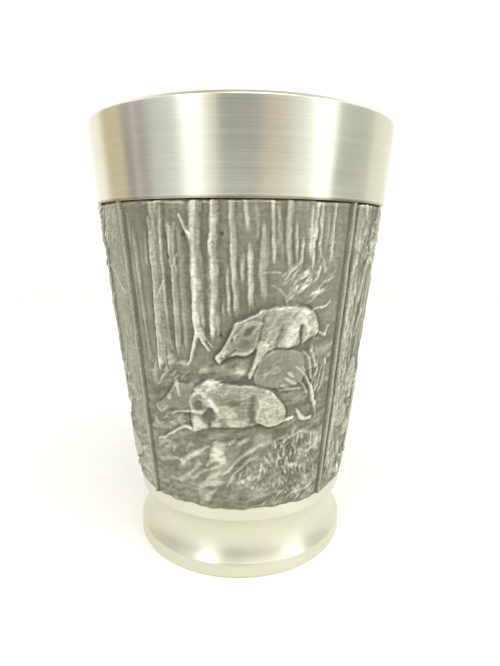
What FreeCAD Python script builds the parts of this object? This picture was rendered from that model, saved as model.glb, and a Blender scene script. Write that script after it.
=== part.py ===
import FreeCAD, Part
import math
import os

import Sketcher

# A cast and turned pewter shot beaker, 55 mm tall. A thin conical liner holds the drink. A turned
# collar is soldered round its mouth, four cast relief panels with four divider ribs clad its waist,
# a coved foot ring is soldered round its lower end and a floor disc closes it.
# Origin: centre of the standing face. +Z is up, and the boar panel faces -Y.

DRIVING_SIZES = [
    # alias, value in mm or degrees, meaning
    ("cup_height", 55.0, "standing face to lip"),
    ("rim_radius", 19.3, "outer radius of the collar at the lip"),
    ("collar_bottom_radius", 18.54, "outer radius of the collar at its lower edge"),
    ("relief_top", 45.4, "height of the joint between collar and panels"),
    ("relief_bottom", 9.6, "height of the joint between panels and foot"),
    ("field_top_radius", 18.13, "outer radius of the panels' ground at the top"),
    ("field_bottom_radius", 14.6, "outer radius of the panels' ground at the bottom"),
    ("panel_thickness", 0.75, "radial thickness of a panel's ground"),
    ("liner_thickness", 0.6, "radial thickness of the liner"),
    ("lip_chamfer", 0.35, "bevel on the collar's upper outer edge"),
    ("lip_bevel", 0.2, "bevel on the liner's upper inner edge"),
    ("panel_count", 4, "relief panels round the cup"),
    ("rib_angle", 3.4, "angle that a divider rib takes up, in degrees"),
    ("rib_height", 0.32, "how far a divider rib stands above the panels' ground"),
    ("rib_rounding", 0.14, "fillet along a divider rib's outer edges"),
    ("floor_top", 7.0, "height of the floor disc's upper face"),
    ("floor_thickness", 1.0, "thickness of the floor disc"),
    ("floor_radius", 13.2, "radius of the floor disc"),
    ("foot_bore_radius", 12.5, "radius of the hollow under the floor"),
    ("foot_shoulder_radius", 14.42, "outer radius of the foot under the panels"),
    ("cove_top", 8.3, "height where the foot's cove starts"),
    ("cove_bottom", 1.3, "height where the foot's cove ends"),
    ("cove_radius", 9.8, "radius of the cove's arc"),
    ("foot_radius", 14.7, "outer radius of the foot's lower edge"),
    ("foot_edge_round", 0.15, "bevel on the foot's lower outer edge"),
    ("foot_bore_flare", 0.5, "bevel on the foot's lower inner edge"),
    ("solder_leg", 0.45, "leg of the solder fillet under the floor"),
]

SLOPE = (
    "(Sizes.field_top_radius - Sizes.field_bottom_radius)"
    " / (Sizes.relief_top - Sizes.relief_bottom)"
)
PANEL_BACK = "Sizes.panel_thickness"
LINER_INSIDE = "(Sizes.panel_thickness + Sizes.liner_thickness)"
FLOOR_UNDERSIDE = "Sizes.floor_top - Sizes.floor_thickness"
CHECK_TOLERANCE = 1e-6

doc = FreeCAD.newDocument("pewter_shot_beaker")


def cone_radius(inset, height):
    """Expression for the radius at a height, on the cone that lies inset below the panels' ground."""
    return f"Sizes.field_bottom_radius - {inset} + ({height} - Sizes.relief_bottom) * {SLOPE}"


def make_sheet():
    """The spreadsheet of driving sizes: meaning, value and alias on one row each."""
    sheet = doc.addObject("Spreadsheet::Sheet", "Sizes")
    for row, (alias, value, meaning) in enumerate(DRIVING_SIZES, start=1):
        sheet.set(f"A{row}", meaning)
        sheet.set(f"B{row}", str(value))
        sheet.setAlias(f"B{row}", alias)
    doc.recompute()
    return sheet


sizes = make_sheet()


def value_of(expression):
    """What an expression over the sheet is worth now."""
    return float(sizes.evalExpression(expression))


def origin_part(body, role):
    """The body's own origin plane or axis with that role."""
    return next(f for f in body.Origin.OriginFeatures if f.Role == role)


def new_body(label, turn=0.0):
    """An empty body for one piece, turned about the cup's axis by that many degrees."""
    body = doc.addObject("PartDesign::Body", label)
    body.Label = label
    rotation = FreeCAD.Rotation(FreeCAD.Vector(0, 0, 1), turn)
    body.Placement = FreeCAD.Placement(FreeCAD.Vector(0, 0, 0), rotation)
    return body


def pin_point(sketch, geometry, position, name, radius, height):
    """Holds a sketch point at a radius and a height, each an expression, or on an axis where it is 0."""
    for axis, kind, expression in ((-2, "DistanceX", radius), (-1, "DistanceY", height)):
        if expression == "0":
            sketch.addConstraint(Sketcher.Constraint("PointOnObject", geometry, position, axis))
            continue
        index = sketch.addConstraint(
            Sketcher.Constraint(kind, -1, 1, geometry, position, value_of(expression))
        )
        sketch.renameConstraint(index, f"{kind}_{name}")
        sketch.setExpression(f"Constraints.{kind}_{name}", expression)


def arc_between(start, end, radius):
    """An arc from start to end whose centre lies outside the cup, so that it hollows the wall."""
    chord = end - start
    middle = (start + end) * 0.5
    outward = FreeCAD.Vector(-chord.y, chord.x, 0).normalize()
    sagitta = radius - math.sqrt(radius**2 - (chord.Length / 2) ** 2)
    return Part.Arc(start, middle - outward * sagitta, end)


def closed_profile(body, name, corners, arcs=()):
    """A closed sketch in the XZ plane through corners, each (radius, height) as expressions.

    arcs maps the index of a side to the expression of its radius; the other sides are straight.
    """
    sketch = body.newObject("Sketcher::SketchObject", name)
    sketch.AttachmentSupport = [(origin_part(body, "XZ_Plane"), "")]
    sketch.MapMode = "FlatFace"
    arcs = dict(arcs)
    points = [FreeCAD.Vector(value_of(r), value_of(z), 0) for r, z in corners]
    count = len(points)
    starts, ends = [], []
    for i in range(count):
        start, end = points[i], points[(i + 1) % count]
        if i in arcs:
            geometry = sketch.addGeometry(arc_between(start, end, value_of(arcs[i])))
        else:
            geometry = sketch.addGeometry(Part.LineSegment(start, end))
        at_start = sketch.getPoint(geometry, 1).distanceToPoint(start) < CHECK_TOLERANCE
        starts.append((geometry, 1 if at_start else 2))
        ends.append((geometry, 2 if at_start else 1))
    for i in range(count):
        sketch.addConstraint(Sketcher.Constraint("Coincident", *ends[i - 1], *starts[i]))
    for i, (radius, height) in enumerate(corners):
        pin_point(sketch, *starts[i], f"corner{i}", radius, height)
    for i, radius in arcs.items():
        index = sketch.addConstraint(Sketcher.Constraint("Radius", starts[i][0], value_of(radius)))
        sketch.renameConstraint(index, f"Radius_side{i}")
        sketch.setExpression(f"Constraints.Radius_side{i}", radius)
    sketch.Visibility = False
    return sketch


def turned_piece(label, corners, arcs=()):
    """A ring or disc turned about the cup's axis from its half section."""
    body = new_body(label)
    turned = body.newObject("PartDesign::Revolution", f"{label}_turning")
    turned.Profile = closed_profile(body, f"{label}_section", corners, arcs)
    turned.ReferenceAxis = (origin_part(body, "Z_Axis"), [""])
    turned.Angle = 360
    return body


def sector_piece(label, corners, angle, turn):
    """A piece that spans an angle about the cup's axis, centred on the direction turn."""
    body = new_body(label, turn)
    sector = body.newObject("PartDesign::Revolution", f"{label}_sector")
    sector.Profile = closed_profile(body, f"{label}_section", corners)
    sector.ReferenceAxis = (origin_part(body, "Z_Axis"), [""])
    sector.Midplane = True
    sector.Angle = value_of(angle)
    sector.setExpression("Angle", angle)
    return body, sector


def make_cup_liner():
    """The thin cone that holds the drink, from the floor disc to the lip."""
    lip_inside = cone_radius(LINER_INSIDE, "Sizes.cup_height")
    return turned_piece(
        "cup_liner",
        [
            (f"{lip_inside} + Sizes.lip_bevel", "Sizes.cup_height"),
            (cone_radius(PANEL_BACK, "Sizes.cup_height"), "Sizes.cup_height"),
            (cone_radius(PANEL_BACK, "Sizes.floor_top"), "Sizes.floor_top"),
            (cone_radius(LINER_INSIDE, "Sizes.floor_top"), "Sizes.floor_top"),
            (lip_inside, "Sizes.cup_height - Sizes.lip_bevel"),
        ],
    )


def make_rim_collar():
    """The smooth turned band round the mouth. Its lower edge overhangs the panels a little."""
    return turned_piece(
        "rim_collar",
        [
            (cone_radius(PANEL_BACK, "Sizes.cup_height"), "Sizes.cup_height"),
            ("Sizes.rim_radius - Sizes.lip_chamfer", "Sizes.cup_height"),
            ("Sizes.rim_radius", "Sizes.cup_height - Sizes.lip_chamfer"),
            ("Sizes.collar_bottom_radius", "Sizes.relief_top"),
            (cone_radius(PANEL_BACK, "Sizes.relief_top"), "Sizes.relief_top"),
        ],
    )


def make_relief_panel(motif, turn):
    """One cast panel: a curved plate between two ribs. Its relief stands on this ground."""
    corners = [
        (cone_radius(PANEL_BACK, "Sizes.relief_top"), "Sizes.relief_top"),
        ("Sizes.field_top_radius", "Sizes.relief_top"),
        ("Sizes.field_bottom_radius", "Sizes.relief_bottom"),
        (cone_radius(PANEL_BACK, "Sizes.relief_bottom"), "Sizes.relief_bottom"),
    ]
    angle = "360 / Sizes.panel_count - Sizes.rib_angle"
    return sector_piece(f"relief_panel_{motif}", corners, angle, turn)[0]


def make_divider_rib(place, turn):
    """One rib between two panels, standing proud of them, with its two outer edges rounded."""
    corners = [
        (cone_radius(PANEL_BACK, "Sizes.relief_top"), "Sizes.relief_top"),
        ("Sizes.field_top_radius + Sizes.rib_height", "Sizes.relief_top"),
        ("Sizes.field_bottom_radius + Sizes.rib_height", "Sizes.relief_bottom"),
        (cone_radius(PANEL_BACK, "Sizes.relief_bottom"), "Sizes.relief_bottom"),
    ]
    body, bar = sector_piece(f"divider_rib_{place}", corners, "Sizes.rib_angle", turn)
    doc.recompute()
    rounded = body.newObject("PartDesign::Fillet", f"divider_rib_{place}_rounding")
    rounded.Base = (bar, long_outer_edges(bar.Shape))
    rounded.setExpression("Radius", "Sizes.rib_rounding")
    return body


def long_outer_edges(shape):
    """Names of a rib's two long edges that lie furthest from the cup's axis."""
    height = value_of("Sizes.relief_top - Sizes.relief_bottom")
    long_edges = []
    for number, edge in enumerate(shape.Edges, start=1):
        if edge.Length > height:
            middle = edge.CenterOfMass
            long_edges.append((math.hypot(middle.x, middle.y), f"Edge{number}"))
    return [name for _, name in sorted(long_edges)[-2:]]


def make_foot_ring():
    """The turned foot: a shoulder under the panels, a cove, and a hollow under the floor disc."""
    return turned_piece(
        "foot_ring",
        [
            (cone_radius(PANEL_BACK, "Sizes.relief_bottom"), "Sizes.relief_bottom"),
            ("Sizes.foot_shoulder_radius", "Sizes.relief_bottom"),
            ("Sizes.foot_shoulder_radius", "Sizes.cove_top"),
            ("Sizes.foot_radius", "Sizes.cove_bottom"),
            ("Sizes.foot_radius", "Sizes.foot_edge_round"),
            ("Sizes.foot_radius - Sizes.foot_edge_round", "0"),
            ("Sizes.foot_bore_radius + Sizes.foot_bore_flare", "0"),
            ("Sizes.foot_bore_radius", "Sizes.foot_bore_flare"),
            ("Sizes.foot_bore_radius", FLOOR_UNDERSIDE),
            ("Sizes.floor_radius", FLOOR_UNDERSIDE),
            ("Sizes.floor_radius", "Sizes.floor_top"),
            (cone_radius(PANEL_BACK, "Sizes.floor_top"), "Sizes.floor_top"),
        ],
        arcs={2: "Sizes.cove_radius"},
    )


def make_floor_disc():
    """The flat disc that closes the liner, let into a step of the foot."""
    return turned_piece(
        "floor_disc",
        [
            ("0", "Sizes.floor_top"),
            ("Sizes.floor_radius", "Sizes.floor_top"),
            ("Sizes.floor_radius", FLOOR_UNDERSIDE),
            ("0", FLOOR_UNDERSIDE),
        ],
    )


def make_floor_solder_seam():
    """The ring of solder in the corner between the floor disc's underside and the foot's bore."""
    return turned_piece(
        "floor_solder_seam",
        [
            ("Sizes.foot_bore_radius", FLOOR_UNDERSIDE),
            ("Sizes.foot_bore_radius", f"{FLOOR_UNDERSIDE} - Sizes.solder_leg"),
            ("Sizes.foot_bore_radius - Sizes.solder_leg", FLOOR_UNDERSIDE),
        ],
    )


def make_all():
    """Every piece of the cup. Panels start at the front and go round towards +X."""
    front = -90.0
    quarter = 360.0 / value_of("Sizes.panel_count")
    bodies = [make_cup_liner(), make_rim_collar()]
    for i, motif in enumerate(("boars", "stag", "fox", "pheasant")):
        bodies.append(make_relief_panel(motif, front + i * quarter))
    for i, place in enumerate(("front_right", "rear_right", "rear_left", "front_left")):
        bodies.append(make_divider_rib(place, front + (i + 0.5) * quarter))
    return bodies + [make_foot_ring(), make_floor_disc(), make_floor_solder_seam()]


def check_document():
    """Stops if any object of the document failed to recompute."""
    doc.recompute()
    failed = [o.Name for o in doc.Objects if {"Invalid", "Error"} & set(o.State)]
    if failed:
        raise RuntimeError(f"these objects failed: {failed}")


def write_piece(body):
    """Checks one piece and writes it as a STEP file named after its label."""
    shape = body.Shape
    if shape.isNull() or not shape.isValid() or len(shape.Solids) != 1:
        raise RuntimeError(f"{body.Label} is not one valid solid")
    shape.exportStep(os.path.join("parts", f"{body.Label}.step"))
    box = shape.optimalBoundingBox()
    print(
        f"{body.Label:28s} {shape.Volume:9.2f} mm3  x {box.XMin:7.2f} {box.XMax:7.2f}"
        f"  y {box.YMin:7.2f} {box.YMax:7.2f}  z {box.ZMin:6.2f} {box.ZMax:6.2f}"
    )


pieces = make_all()
check_document()
os.makedirs("parts", exist_ok=True)
for piece in pieces:
    write_piece(piece)
print(f"total volume {sum(piece.Shape.Volume for piece in pieces):.1f} mm3")
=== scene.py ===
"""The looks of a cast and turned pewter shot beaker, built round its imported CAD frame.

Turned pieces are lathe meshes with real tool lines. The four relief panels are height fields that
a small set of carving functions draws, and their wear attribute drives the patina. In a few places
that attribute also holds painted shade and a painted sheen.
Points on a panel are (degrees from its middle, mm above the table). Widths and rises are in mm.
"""
import math

import bpy
import numpy as np
from mathutils import Matrix, Vector


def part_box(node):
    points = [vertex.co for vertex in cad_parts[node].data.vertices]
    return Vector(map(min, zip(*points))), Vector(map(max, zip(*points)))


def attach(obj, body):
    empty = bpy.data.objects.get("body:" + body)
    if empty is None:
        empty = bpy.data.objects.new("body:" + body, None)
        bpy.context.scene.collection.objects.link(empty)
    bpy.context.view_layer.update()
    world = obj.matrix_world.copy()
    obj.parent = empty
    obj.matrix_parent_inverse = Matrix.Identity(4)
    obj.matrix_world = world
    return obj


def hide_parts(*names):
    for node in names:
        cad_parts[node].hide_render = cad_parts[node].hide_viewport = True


MM = 0.001
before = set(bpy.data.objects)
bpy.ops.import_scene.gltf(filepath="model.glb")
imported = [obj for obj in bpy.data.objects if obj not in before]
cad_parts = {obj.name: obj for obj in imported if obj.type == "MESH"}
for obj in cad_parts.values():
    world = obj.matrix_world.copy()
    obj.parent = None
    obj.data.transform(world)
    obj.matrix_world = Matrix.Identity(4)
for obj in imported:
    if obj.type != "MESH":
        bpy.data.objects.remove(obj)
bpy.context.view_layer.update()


# ---------------------------------------------------------------- sizes, read from the frame


def node_points(node):
    """A CAD node's vertices as (radius, height) in mm."""
    points = np.array([v.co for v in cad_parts[node].data.vertices]) / MM
    return np.stack([np.hypot(points[:, 0], points[:, 1]), points[:, 2]], axis=1)


def outer_radius(node, height, tolerance=0.05):
    """The node's largest radius at a height where it has a turned edge."""
    points = node_points(node)
    return points[abs(points[:, 1] - height) < tolerance, 0].max()


def inner_radius(node, height, tolerance=0.05):
    """The node's smallest radius at a height where it has a turned edge."""
    points = node_points(node)
    return points[abs(points[:, 1] - height) < tolerance, 0].min()


def height_span(node):
    """The node's lowest and highest height in mm."""
    low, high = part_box(node)
    return low.z / MM, high.z / MM


FLOOR_TOP, LIP = height_span("cup_liner")
FLOOR_UNDER = height_span("floor_disc")[0]
RELIEF_BOTTOM, RELIEF_TOP = height_span("relief_panel_boars")
FIELD_TOP_RADIUS = outer_radius("relief_panel_boars", RELIEF_TOP)
FIELD_BOTTOM_RADIUS = outer_radius("relief_panel_boars", RELIEF_BOTTOM)
BACK_TOP_RADIUS = inner_radius("relief_panel_boars", RELIEF_TOP)
BACK_BOTTOM_RADIUS = inner_radius("relief_panel_boars", RELIEF_BOTTOM)
SHOULDER_RADIUS = outer_radius("foot_ring", RELIEF_BOTTOM)


def on_cone(low_radius, high_radius, low, high, height):
    """Radius at a height on the cone through two rings."""
    return low_radius + (high_radius - low_radius) * (height - low) / (high - low)


def field_radius(height):
    """Radius of the panels' ground at a height."""
    return on_cone(FIELD_BOTTOM_RADIUS, FIELD_TOP_RADIUS, RELIEF_BOTTOM, RELIEF_TOP, height)


def back_radius(height):
    """Radius of the panels' back, which is also the liner's outside, at a height."""
    return on_cone(BACK_BOTTOM_RADIUS, BACK_TOP_RADIUS, RELIEF_BOTTOM, RELIEF_TOP, height)


# ---------------------------------------------------------------- the carver's tools

# angles in degrees and lengths in mm; tones run from 0, black, to 1, rubbed bright
PANEL_HALF_ANGLE = 43.3
COLUMNS, ROWS = 270, 364
FULL_RISE = 0.8
SWAY_ROOM = 0.15
FORM_REACH, MOAT_WIDTH = 0.4, 0.3
CHANNEL_WIDTH, CHANNEL_DEPTH = 0.45, 0.02
GAP_WIDTH, GAP_DEPTH = 0.12, 0.08
BEAD_DROP, BEAD_WIDTH, BEAD_RISE = 0.32, 0.10, 0.07
GROUND_TONE, HOLLOW_TONE, CREST_TONE = 0.375, 0.30, 0.6
CASTING_BLUR, POLISH_BLUR, HAND_BLUR = 0.075, 0.07, 0.32
MEAN_RADIUS = (FIELD_TOP_RADIUS + FIELD_BOTTOM_RADIUS) / 2
MM_PER_DEGREE = math.radians(MEAN_RADIUS)


def smooth_line(points, closed=False, per_span=6):
    """A Catmull-Rom curve through (degrees, mm) points, as an array of (mm across, mm up)."""
    line = np.array(points, float) * (MM_PER_DEGREE, 1.0)
    if closed:
        line = np.vstack([line[-1], line, line[:2]])
    else:
        line = np.vstack([2 * line[0] - line[1], line, 2 * line[-1] - line[-2]])
    before, start, end, after = line[:-3, None], line[1:-2, None], line[2:-1, None], line[3:, None]
    t = np.linspace(0, 1, per_span, endpoint=False)[None, :, None]
    curve = 0.5 * (
        2 * start
        + (end - before) * t
        + (2 * before - 5 * start + 4 * end - after) * t**2
        + (3 * start - before - 3 * end + after) * t**3
    )
    return np.vstack([curve.reshape(-1, 2), line[-2]])


def line_distance(across, up, line):
    """Distance to a line, and the share of its length at which the nearest point lies."""
    steps = np.diff(line, axis=0)
    lengths = np.maximum(np.hypot(steps[:, 0], steps[:, 1]), 1e-9)
    so_far = np.concatenate([[0], np.cumsum(lengths)])
    nearest = np.full(across.shape, np.inf)
    share = np.zeros(across.shape)
    for i, (start, step, length) in enumerate(zip(line, steps, lengths)):
        from_start = across - start[0], up - start[1]
        t = np.clip((from_start[0] * step[0] + from_start[1] * step[1]) / length**2, 0, 1)
        distance = np.hypot(from_start[0] - t * step[0], from_start[1] - t * step[1])
        closer = distance < nearest
        nearest = np.where(closer, distance, nearest)
        share = np.where(closer, (so_far[i] + t * length) / so_far[-1], share)
    return nearest, share


def inside_outline(across, up, outline):
    """Whether each point lies inside a closed outline."""
    inside = np.zeros(across.shape, bool)
    for (x0, y0), (x1, y1) in zip(outline[:-1], outline[1:]):
        if y0 != y1:
            crosses = ((y0 > up) != (y1 > up)) & (across < (x1 - x0) * (up - y0) / (y1 - y0) + x0)
            inside ^= crosses
    return inside


def blurred(field, radius, steps):
    """The field with detail finer than a radius in mm smoothed away."""
    pad = int(3 * radius / min(steps)) + 1
    wide = np.pad(field, pad, mode="reflect" if pad < min(field.shape) else "symmetric")
    up = np.fft.fftfreq(wide.shape[0], steps[0])[:, None]
    across = np.fft.rfftfreq(wide.shape[1], steps[1])[None, :]
    keep = np.exp(-2 * (math.pi * radius) ** 2 * (up**2 + across**2))
    soft = np.fft.irfft2(np.fft.rfft2(wide) * keep, s=wide.shape)
    return soft[pad:-pad, pad:-pad]


class Relief:
    """A height field over one panel's ground, in mm, and its brightness: rubbed wear, with painted shade
    and sheen in places.
    """

    def __init__(self, seed):
        self.random = np.random.default_rng(seed)
        half_width = PANEL_HALF_ANGLE * MM_PER_DEGREE
        self.columns = np.linspace(-half_width, half_width, COLUMNS)
        self.rows = np.linspace(RELIEF_BOTTOM, RELIEF_TOP, ROWS)
        self.across, self.up = np.meshgrid(self.columns, self.rows)
        self.steps = (self.rows[1] - self.rows[0], self.columns[1] - self.columns[0])
        self.height = np.zeros(self.across.shape)
        self.polish = np.zeros(self.across.shape)
        sway = [0.09 * self.cloud(0.9, 1.3) + 0.04 * self.cloud(0.35, 0.4) for _ in range(2)]
        self.across, self.up = self.across + sway[0], self.up + sway[1]

    def window(self, line, reach):
        """Slices of the grid that hold every point within reach of a line."""
        reach += SWAY_ROOM
        low, high = line.min(axis=0) - reach, line.max(axis=0) + reach
        rows = np.searchsorted(self.rows, (low[1], high[1]))
        columns = np.searchsorted(self.columns, (low[0], high[0]))
        return slice(*rows), slice(*columns)

    def cloud(self, across, up, slant=0.0):
        """Smooth noise from -1 to 1, with lumps that many mm across and up, along a slant."""
        x = np.clip(self.across - self.columns[0], 0, None) / across
        low = min(0, -slant * (self.columns[-1] + 1))
        y = np.clip(self.up - slant * self.across - self.rows[0] - low, 0, None) / up
        grid = self.random.uniform(-1, 1, (int(y.max()) + 2, int(x.max()) + 2))
        column, row = x.astype(int), y.astype(int)
        x, y = x - column, y - row
        x, y = x * x * (3 - 2 * x), y * y * (3 - 2 * y)
        low = grid[row, column] * (1 - x) + grid[row, column + 1] * x
        high = grid[row + 1, column] * (1 - x) + grid[row + 1, column + 1] * x
        return low * (1 - y) + high * y

    def ridge(self, points, width, rise, polish=0.0, taper=(1, 1), over=False, line=None):
        """A rounded ridge, or a groove where rise is negative.

        Polish is how much brighter its crest is rubbed. With over it covers what lies under it.
        """
        line = smooth_line(points) if line is None else line
        window = self.window(line, width)
        distance, share = line_distance(self.across[window], self.up[window], line)
        half = width / 2 * (taper[0] + (taper[1] - taper[0]) * share)
        swell = np.clip(1 - (distance / half) ** 2, 0, 1)
        if over:
            self.height[window] = np.maximum(self.height[window], rise * np.sqrt(swell))
        else:
            self.height[window] += rise * swell
        self.polish[window] += polish * swell

    def form(self, points, rise, roll=0.5, polish=0.0, level=None, moat=0.05):
        """A body inside a closed outline, rounded over a strip of width roll along its edge.

        With a level it covers what lies under it, and its edge stands that high. Without one it
        is added to what is there, so that a negative rise makes a hollow.
        """
        outline = smooth_line(points, closed=True)
        window = self.window(outline, FORM_REACH)
        across, up = self.across[window], self.up[window]
        distance = line_distance(across, up, outline)[0]
        inside = inside_outline(across, up, outline)
        swell = np.sqrt(1 - (1 - np.clip(distance / roll, 0, 1)) ** 2) * inside
        if level is None:
            self.height[window] += rise * swell
        else:
            self.height[window] = np.where(inside, level + rise * swell, self.height[window])
            self.polish[window] = np.where(inside, 0, self.polish[window])
            self.height[window] -= 0.6 * moat * np.clip(1 - distance / MOAT_WIDTH, 0, 1) * ~inside
        self.polish[window] += polish * swell

    def strokes(self, points, count, length, width, rise, slant, spread=12.0, polish=0.0):
        """Short ridges scattered inside an outline: fur, grass, needles or bark.

        slant is the angle of the strokes from level, in degrees.
        """
        outline = smooth_line(points, closed=True)
        low, high = outline.min(axis=0), outline.max(axis=0)
        spots = self.random.uniform(low, high, (int(count) * 3, 2))
        spots = spots[inside_outline(spots[:, 0], spots[:, 1], outline)][: int(count)]
        for spot in spots:
            angle = math.radians(self.random.normal(slant, spread))
            half = length * self.random.uniform(0.6, 1.2) / 2
            reach = np.array([math.cos(angle), math.sin(angle)]) * half
            strength = self.random.uniform(0.5, 1.2)
            self.ridge(
                None,
                width,
                rise * strength,
                taper=(1, 0.45),
                polish=polish * strength,
                line=np.array([spot - reach, spot + reach]),
            )

    def finish(self):
        """Softens the carving as casting and handling do, and frames it.

        A channel runs along both sides, darkened with painted shade, and a thin cast bead along the top
        under a gap darkened with painted shade and patina.
        """
        from_side = np.minimum(self.across - self.columns[0], self.columns[-1] - self.across)
        margin = np.clip(1 - (from_side + 0.05 * self.cloud(0.4, 1.5)) / CHANNEL_WIDTH, 0, 1)
        from_top = RELIEF_TOP - self.up + 0.04 * self.cloud(0.8, 0.5)
        gap = np.clip(1.3 - from_top / GAP_WIDTH, 0, 1)
        bead = np.exp(-(((from_top - BEAD_DROP) / BEAD_WIDTH) ** 2))
        bead *= np.clip(0.5 + self.cloud(0.9, 3.0), 0, 1)
        self.height = np.minimum(self.height, FULL_RISE * np.tanh(self.height / FULL_RISE))
        self.height = blurred(self.height, CASTING_BLUR, self.steps)
        self.height += 0.010 * self.cloud(0.2, 0.16) + 0.005 * self.cloud(1.2, 0.12)
        self.height += 0.016 * self.cloud(0.35, 1.6) + 0.014 * self.cloud(0.9, 0.7)
        self.height = self.height * (1 - margin) * (1 - gap) - CHANNEL_DEPTH * margin
        self.height += BEAD_RISE * bead - GAP_DEPTH * gap
        soft = 0.2 * blurred(self.polish, HAND_BLUR, self.steps)
        sharp = 0.8 * blurred(self.polish, POLISH_BLUR, self.steps)
        # Painted shade: polish is taken out of the side channels and the gap under the collar, and both are
        # darkened; in the gap the darkness is also patina.
        self.polish = (sharp + soft) * (1 - margin) * (1 - gap)
        self.polish += 0.20 * bead * (1 - margin) - 0.05 * margin - 0.14 * gap

    def wear(self):
        """How bright each point is, from 0 in the hollows to 1 on the crests: rubbed wear, with painted
        shade and sheen in places.
        """
        fine = (self.height - blurred(self.height, 0.2, self.steps)) / 0.07
        middle = (self.height - blurred(self.height, 0.8, self.steps)) / 0.2
        broad = (self.height - blurred(self.height, 3.0, self.steps)) / 0.4
        tone = 0.15 * fine + 0.12 * middle + 0.05 * broad
        tone = np.where(tone < 0, 0.95 * tone, tone)
        worn = 0.5 * self.cloud(0.5, 0.14, 0.3) + 0.42 * self.cloud(0.19, 0.3, -0.5)
        worn += 0.4 * self.cloud(0.9, 0.7)
        tone += GROUND_TONE + 0.68 * self.polish * np.maximum(1 + worn, 0.1)
        tone += 0.035 * self.cloud(2.6, 2.0) + 0.025 * self.cloud(0.5, 2.2)
        speckle = 0.05 * self.cloud(0.16, 0.14) + 0.06 * self.cloud(1.1, 0.11)
        tone += speckle * np.clip(tone - 0.1, 0.15, 0.8)
        dark = HOLLOW_TONE - 0.2 * np.tanh((HOLLOW_TONE - tone) / 0.2)
        tone = np.where(tone < HOLLOW_TONE, dark, tone)
        light = CREST_TONE + 0.36 * np.tanh((tone - CREST_TONE) / 0.36)
        return np.where(tone > CREST_TONE, light, tone)


# ---------------------------------------------------------------- the four scenes


def forest_floor(relief, top, lumps=0.1):
    """Uneven ground below a line of (degrees, mm) points: broad lumps, and small stones on them."""
    line = np.array(top, float)
    edge = np.interp(relief.across / MM_PER_DEGREE, line[:, 0], line[:, 1])
    ground = np.clip((edge - relief.up) / 0.8, 0, 1)
    uneven = 0.6 * relief.cloud(3.2, 1.6) + 0.4 * relief.cloud(1.1, 0.6)
    relief.height += ground * (0.06 + lumps * uneven)
    drifts = relief.cloud(2.6, 0.75, 0.35) + 0.7 * relief.cloud(1.1, 0.4, 0.25)
    relief.height += ground * 0.05 * drifts
    relief.polish += ground * 0.2 * np.clip(drifts - 0.25, -0.3, 1)
    relief.height += 0.03 * relief.cloud(0.45, 0.3)


def diamond(across, up, wide, tall):
    """The corners of a small lozenge that reaches that far to each side, and up and down."""
    return [(across - wide, up), (across, up + tall), (across + wide, up), (across, up - tall)]


def trunk(relief, points, width, rise, polish=0.0, taper=(1, 1)):
    """A tree trunk from its top down, with bark, a painted highlight along both edges, painted shade over
    its right half, and ends that fade.
    """
    line = smooth_line(points)
    line = line[np.argsort(line[:, 1])]
    window = relief.window(line, width)
    low, high = line[0, 1], line[-1, 1]
    across, up = relief.across[window], relief.up[window]
    share = np.clip((high - up) / (high - low), 0, 1)
    uneven = 0.5 * relief.cloud(2, 2.4)[window] + 0.3 * relief.cloud(0.3, 0.5)[window]
    half = width / 2 * (taper[0] + (taper[1] - taper[0]) * share) * (1 + 0.2 * uneven)
    offset = (across - np.interp(up, line[:, 1], line[:, 0])) / half
    fibres, ticks = relief.cloud(0.13, 1.3)[window], relief.cloud(0.5, 0.13)[window]
    fade = np.clip((up - low) / 1.3 + 0.5 * fibres, 0, 1)
    if high < RELIEF_TOP - 0.6:
        fade *= np.clip((high - up) / 1.2 + 0.5 * fibres, 0, 1)
    swell = np.clip(1 - offset**2, 0, 1) ** 0.4 * fade
    bark = 0.08 * min(1, rise / 0.3) * (fibres - abs(ticks)) * swell
    shape = rise * swell * (1 - 0.25 * np.clip(offset, -0.2, 1)) + bark
    under = relief.height[window]
    relief.height[window] = np.where(swell > 0, np.maximum(under, shape), under)
    # Painted light and shade: a highlight along each edge, brighter on the left, painted shade over the
    # right half, and the bark's worn fibres between.
    left = np.exp(-(((offset + 0.5) / 0.32) ** 2)) * np.clip(1.2 + 0.5 * uneven, 0, 1.2)
    right = np.exp(-(((offset - 0.7) / 0.24) ** 2)) * np.clip(0.4 + uneven, 0, 1)
    middle = np.clip(0.1 + 0.6 * fibres - 0.8 * np.clip(ticks, 0, 1), -0.3, 1) * (abs(offset) < 1)
    lit = np.maximum(np.maximum(left, 0.8 * right), middle) * (abs(offset) < 1.2) * (1 + 0.5 * fibres)
    lit -= 0.5 * np.clip(offset + 0.1, 0, 0.8) * (offset < 0.95)
    relief.polish[window] += 1.8 * polish * lit * fade


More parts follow.
